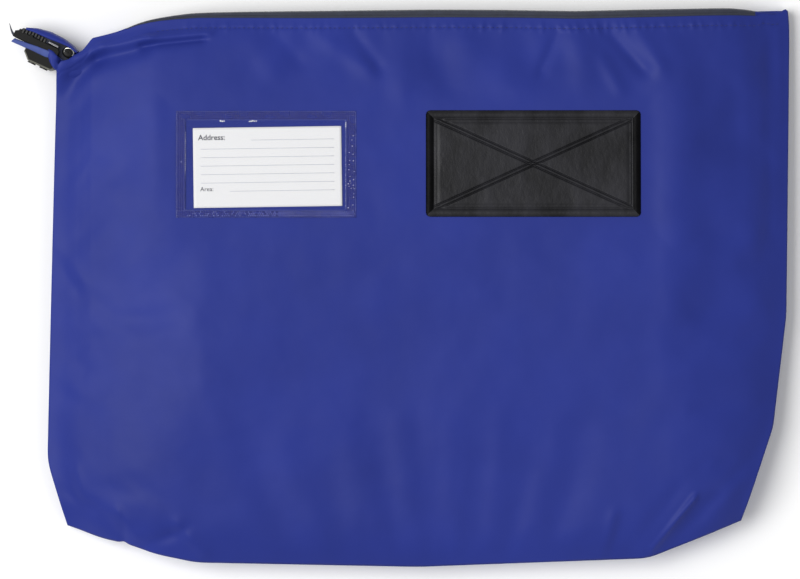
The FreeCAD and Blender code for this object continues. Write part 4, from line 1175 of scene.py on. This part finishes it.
def window_welds():
    """The raised weld beads inside the border, its knurled dots, and the film's cut edge, in pale film
    that is a painted highlight, and near-white dots that are painted glints.
    """
    low = WINDOW_LOW[:2]
    high = WINDOW_HIGH[:2]
    inner = WELD_WIDTH + 0.2

    def loop(inset, right, bottom):
        corners = [(low[0] + inset, low[1] + bottom), (high[0] - right, low[1] + bottom),
                   (high[0] - right, high[1] - inset), (low[0] + inset, high[1] - inset)]
        return smooth_line(corners + corners[:1], 420, 2.0)
    # The beads, the rim and the knurl dots are in the pale film: a painted highlight.
    bead("weld_bead", loop(inner, inner + 0.8, BOTTOM_WELD + 0.2), 0.22, 0.75, FILM_EDGE_HIGHLIGHT)
    bead("film_rim", loop(0.3, 0.3, 0.3), 0.14, 0.3, FILM_EDGE_HIGHLIGHT)
    draw = random.Random(21)
    knurl = []
    for x in np.arange(low[0] + 8, high[0] - 1.5, 1.5):
        for row, y in enumerate(np.arange(low[1] + 1.3, low[1] + 4.6, 1.25)):
            if draw.random() < 0.35 + 0.65 * ease((x - low[0] - 8) / 90):
                knurl.append((x + 0.75 * (row % 2), y, draw.uniform(0.36, 0.52)))
    dots("bottom_knurl", knurl, FILM_EDGE_HIGHLIGHT)
    # Near-white dots along the welds and in the right border: painted glints.
    sparks = []
    for y in np.arange(low[1] + 8, high[1] - 8, 1.3):
        bright = ease((y - low[1] - 26) / 8) * ease((high[1] - 13 - y) / 3)
        sparks.append((low[0] + inner, y, draw.uniform(0.16, 0.3) + 0.3 * bright))
        bright = ease((y - high[1] + 14) / 5)
        sparks.append((high[0] - inner - 0.9, y, draw.uniform(0.14, 0.34) + 0.35 * bright))
    for x in low[0] + np.array([30.6, 31.8, 33.0, 50.4, 51.6, 52.8, 54.0, 55.2]):
        sparks.append((x, high[1] - inner - 0.4 - draw.uniform(0, 0.8), draw.uniform(0.45, 0.75)))
    for _ in range(26):
        sparks.append((high[0] - draw.uniform(1.2, 5.8), draw.uniform(low[1] + 2, high[1] - 12),
                       draw.uniform(0.15, 0.32)))
    for x in (low[0] + 3.2, low[0] + 3.8):
        sparks.append((x, low[1] + 39 + draw.uniform(-1, 1), draw.uniform(0.4, 0.6)))
    dots("weld_sparkles", sparks, FILM_PAINTED_GLINT)


CARD_TILT = math.radians(0.85)
CARD_MARGIN = 5.2
# The rules: how far down the first one is, their pitch and their width.
RULE_FIRST = 9.0
RULE_PITCH = 5.85
RULE_WIDTH = 0.32
# Words: name, text, size, start, distance down from the card's top, and how much bolder.
WORDS = (("card_heading", "Address:", 5.2, 3.6, 8.4, 0.07),
         ("card_label", "Area:", 4.2, 4.6, 43.6, 0.0))
CARD_CENTRE = (CARD_LOW[:2] + CARD_HIGH[:2]) / 2 - np.array([0, 0.4])
CARD_HALF = (CARD_HIGH[:2] - CARD_LOW[:2]) / 2 - np.array([0.4, 0.2])


def on_card(across, up, lift):
    """A point of the card's own frame, lift above the front panel."""
    x, y = CARD_CENTRE + np.array([across * math.cos(CARD_TILT) - up * math.sin(CARD_TILT),
                                   across * math.sin(CARD_TILT) + up * math.cos(CARD_TILT)])
    return (x, y, surface_z(x, y) + lift)


def card_strip(across, up, width, height, lift, columns=24, rows=2):
    return np.array([[on_card(a, b, lift) for a in np.linspace(across, across + width, columns)]
                     for b in np.linspace(up, up + height, rows)])


def card_words(name, words, size, start, down, bold):
    curve = bpy.data.curves.new(name, "FONT")
    curve.body = words
    curve.size = size * MM
    curve.offset = bold * MM
    curve.resolution_u = 4
    curve.extrude = 0.015 * MM
    curve.materials.append(INK)
    label = bpy.data.objects.new(name, curve)
    bpy.context.collection.objects.link(label)
    x, y, z = on_card(-CARD_HALF[0] + start, CARD_HALF[1] - down, 0.7)
    label.location = Vector((x, y, z)) * MM
    slope = (surface_z(x, y + 2) - surface_z(x, y - 2)) / 4
    label.rotation_euler = (math.atan(slope), 0, CARD_TILT)
    belongs(label, "card", "card")


def card():
    """The address card with its ruled lines and a generic heading, a hair off square."""
    width, height = 2 * CARD_HALF
    sheet = grid_object("card_sheet", card_strip(*-CARD_HALF, width, height, 0.62, 60, 34), PAPER)
    belongs(thicken(sheet, 0.3, -1), "card", "card", "address_card")
    starts = [40.0] + 5 * [CARD_MARGIN] + [25.0]
    for number, start in enumerate(starts):
        line = card_strip(-CARD_HALF[0] + start, CARD_HALF[1] - RULE_FIRST - RULE_PITCH * number,
                          width - start - CARD_MARGIN, RULE_WIDTH, 0.66)
        rule = thicken(grid_object(f"card_rule_{number}", line, RULE_INK), 0.03, 1)
        belongs(rule, "card", "card")
    for words in WORDS:
        card_words(*words)


PATCH_BORDER = 5.7
PATCH_CORNER = 2.8
# The X ribs: height and half width, and their two grooves: place, depth and half width.
RIB_RISE = 0.5
RIB_HALF = 0.8
GROOVE_SHIFT = 1.4
GROOVE_DEPTH = 1.05
GROOVE_HALF = 0.42


def patch_inset(x, y):
    """Distance in from the patch's outer edge, whose corners are rounded, and from each side."""
    low = PATCH_LOW[:2]
    high = PATCH_HIGH[:2]
    sides = (x - low[0], high[0] - x, y - low[1], high[1] - y)
    inset = min(sides)
    near_x = min(sides[0], sides[1])
    near_y = min(sides[2], sides[3])
    if near_x < PATCH_CORNER and near_y < PATCH_CORNER:
        inset = PATCH_CORNER - math.hypot(PATCH_CORNER - near_x, PATCH_CORNER - near_y)
    return inset, sides


def patch_rise(x, y):
    """Height of the black patch over the panel: a rounded border, a raised field and X ribs."""
    inset, sides = patch_inset(x, y)
    roll = math.sin(math.pi * min(max(inset / PATCH_BORDER, 0.0), 1.0))
    level = 0.25 + 1.25 * roll ** 0.7
    past = inset - PATCH_BORDER
    level -= 0.1 * math.exp(-(past / 0.5) ** 2)
    if past > 0:
        level = 0.3 + 0.9 * float(ease(past / 4.5))
        level += 0.35 * math.exp(-((past - 1.3) / 0.5) ** 2)
        low = PATCH_LOW[:2] + PATCH_BORDER
        high = PATCH_HIGH[:2] - PATCH_BORDER
        span = high - low
        middle = (low + high) / 2
        for sign in (1, -1):
            across = (x - middle[0]) / span[0]
            up = sign * (y - middle[1]) / span[1]
            away = sign * (up - across) * span[0] * span[1] / math.hypot(span[0], span[1])
            level += RIB_RISE * math.exp(-(away / RIB_HALF) ** 4)
            for shift in (-GROOVE_SHIFT, GROOVE_SHIFT):
                level -= GROOVE_DEPTH * math.exp(-((away - shift) / GROOVE_HALF) ** 2)
    return max(level, 0.12)


def patch():
    sheet = laid_sheet("patch_sheet", PATCH_LOW, PATCH_HIGH, 420, 210, VINYL, patch_rise)
    doomed = [v.index for v in sheet.data.vertices
              if patch_inset(v.co[0] / MM, v.co[1] / MM)[0] < -0.05]
    trim(sheet, doomed)
    # The left and right border bands are in the darker vinyl: painted shade.
    sheet.data.materials.append(VINYL_PAINTED_SHADE)
    for face in sheet.data.polygons:
        inset, sides = patch_inset(face.center[0] / MM, face.center[1] / MM)
        if inset < PATCH_BORDER - 0.4 and min(sides[:2]) < min(sides[2:]):
            face.material_index = 1
    thicken(sheet, 0.35, -1)
    belongs(sheet, "black_vinyl", "front", "black_patch")


def trim(thing, doomed):
    """Takes these vertices, and the faces that use them, out of a mesh."""
    shape = bmesh.new()
    shape.from_mesh(thing.data)
    shape.verts.ensure_lookup_table()
    bmesh.ops.delete(shape, geom=[shape.verts[i] for i in doomed], context="VERTS")
    shape.to_mesh(thing.data)
    shape.free()


# ---- stage

# Lamps: name, place and aim in metres, watts and width.
LAMPS = (("key", (-1.75, 0.15, 2.95), (0.0, -0.05, 0), 98.5, 2.2),
         ("fill", (1.4, -1.2, 1.6), (0, 0, 0), 5.0, 1.4))
SKY = 0.5
FLOOR_HALF = 3000
FLOOR_DROP = 0.4


def stage():
    corners = [(FLOOR_HALF * a, FLOOR_HALF * b, -FLOOR_DROP) for a, b in SQUARE]
    mesh_object("floor", corners, [[0, 1, 2, 3]], FLOOR, False)
    world = bpy.data.worlds.new("studio")
    world.use_nodes = True
    background = world.node_tree.nodes["Background"]
    background.inputs["Color"].default_value = (1.0, 1.0, 1.0, 1.0)
    background.inputs["Strength"].default_value = SKY
    bpy.context.scene.world = world
    for name, place, aim, power, width in LAMPS:
        light = bpy.data.lights.new(name, "AREA")
        light.energy = power
        light.size = width
        lamp = bpy.data.objects.new(name, light)
        lamp.location = place
        lamp.rotation_euler = (Vector(aim) - Vector(place)).to_track_quat("-Z", "Y").to_euler()
        bpy.context.collection.objects.link(lamp)
    bpy.context.scene.view_settings.view_transform = "Standard"


# The camera, in metres: its distance from the bag's crown, the width that it sees there, the
# crown's height, and how far it stands off the bag's middle.  The sensor is in millimetres.
DISTANCE = 3.4
FIELD = 0.5544
SENSOR = 36
CROWN = 0.02
OFF_CENTRE = (-0.0128, -0.001)


def camera():
    """Straight down on the lying bag through a long lens."""
    data = bpy.data.cameras.new("camera")
    data.sensor_width = SENSOR
    data.lens = SENSOR * DISTANCE / FIELD
    data.clip_end = 20
    thing = bpy.data.objects.new("camera", data)
    middle = (LEFT_LOW[0] * MM + RIGHT_TOP[0] * MM) / 2
    thing.location = (middle + OFF_CENTRE[0], OFF_CENTRE[1], DISTANCE + CROWN)
    bpy.context.collection.objects.link(thing)
    bpy.context.scene.camera = thing


hold_at_tail(front_shell)
for make in (back_panel, side_gussets, base_walls, closure_covers, chain, metal_pieces, stitches,
             tail_fabric, tail_chain, eyelet, window, window_welds, card, patch, stage, camera):
    make()
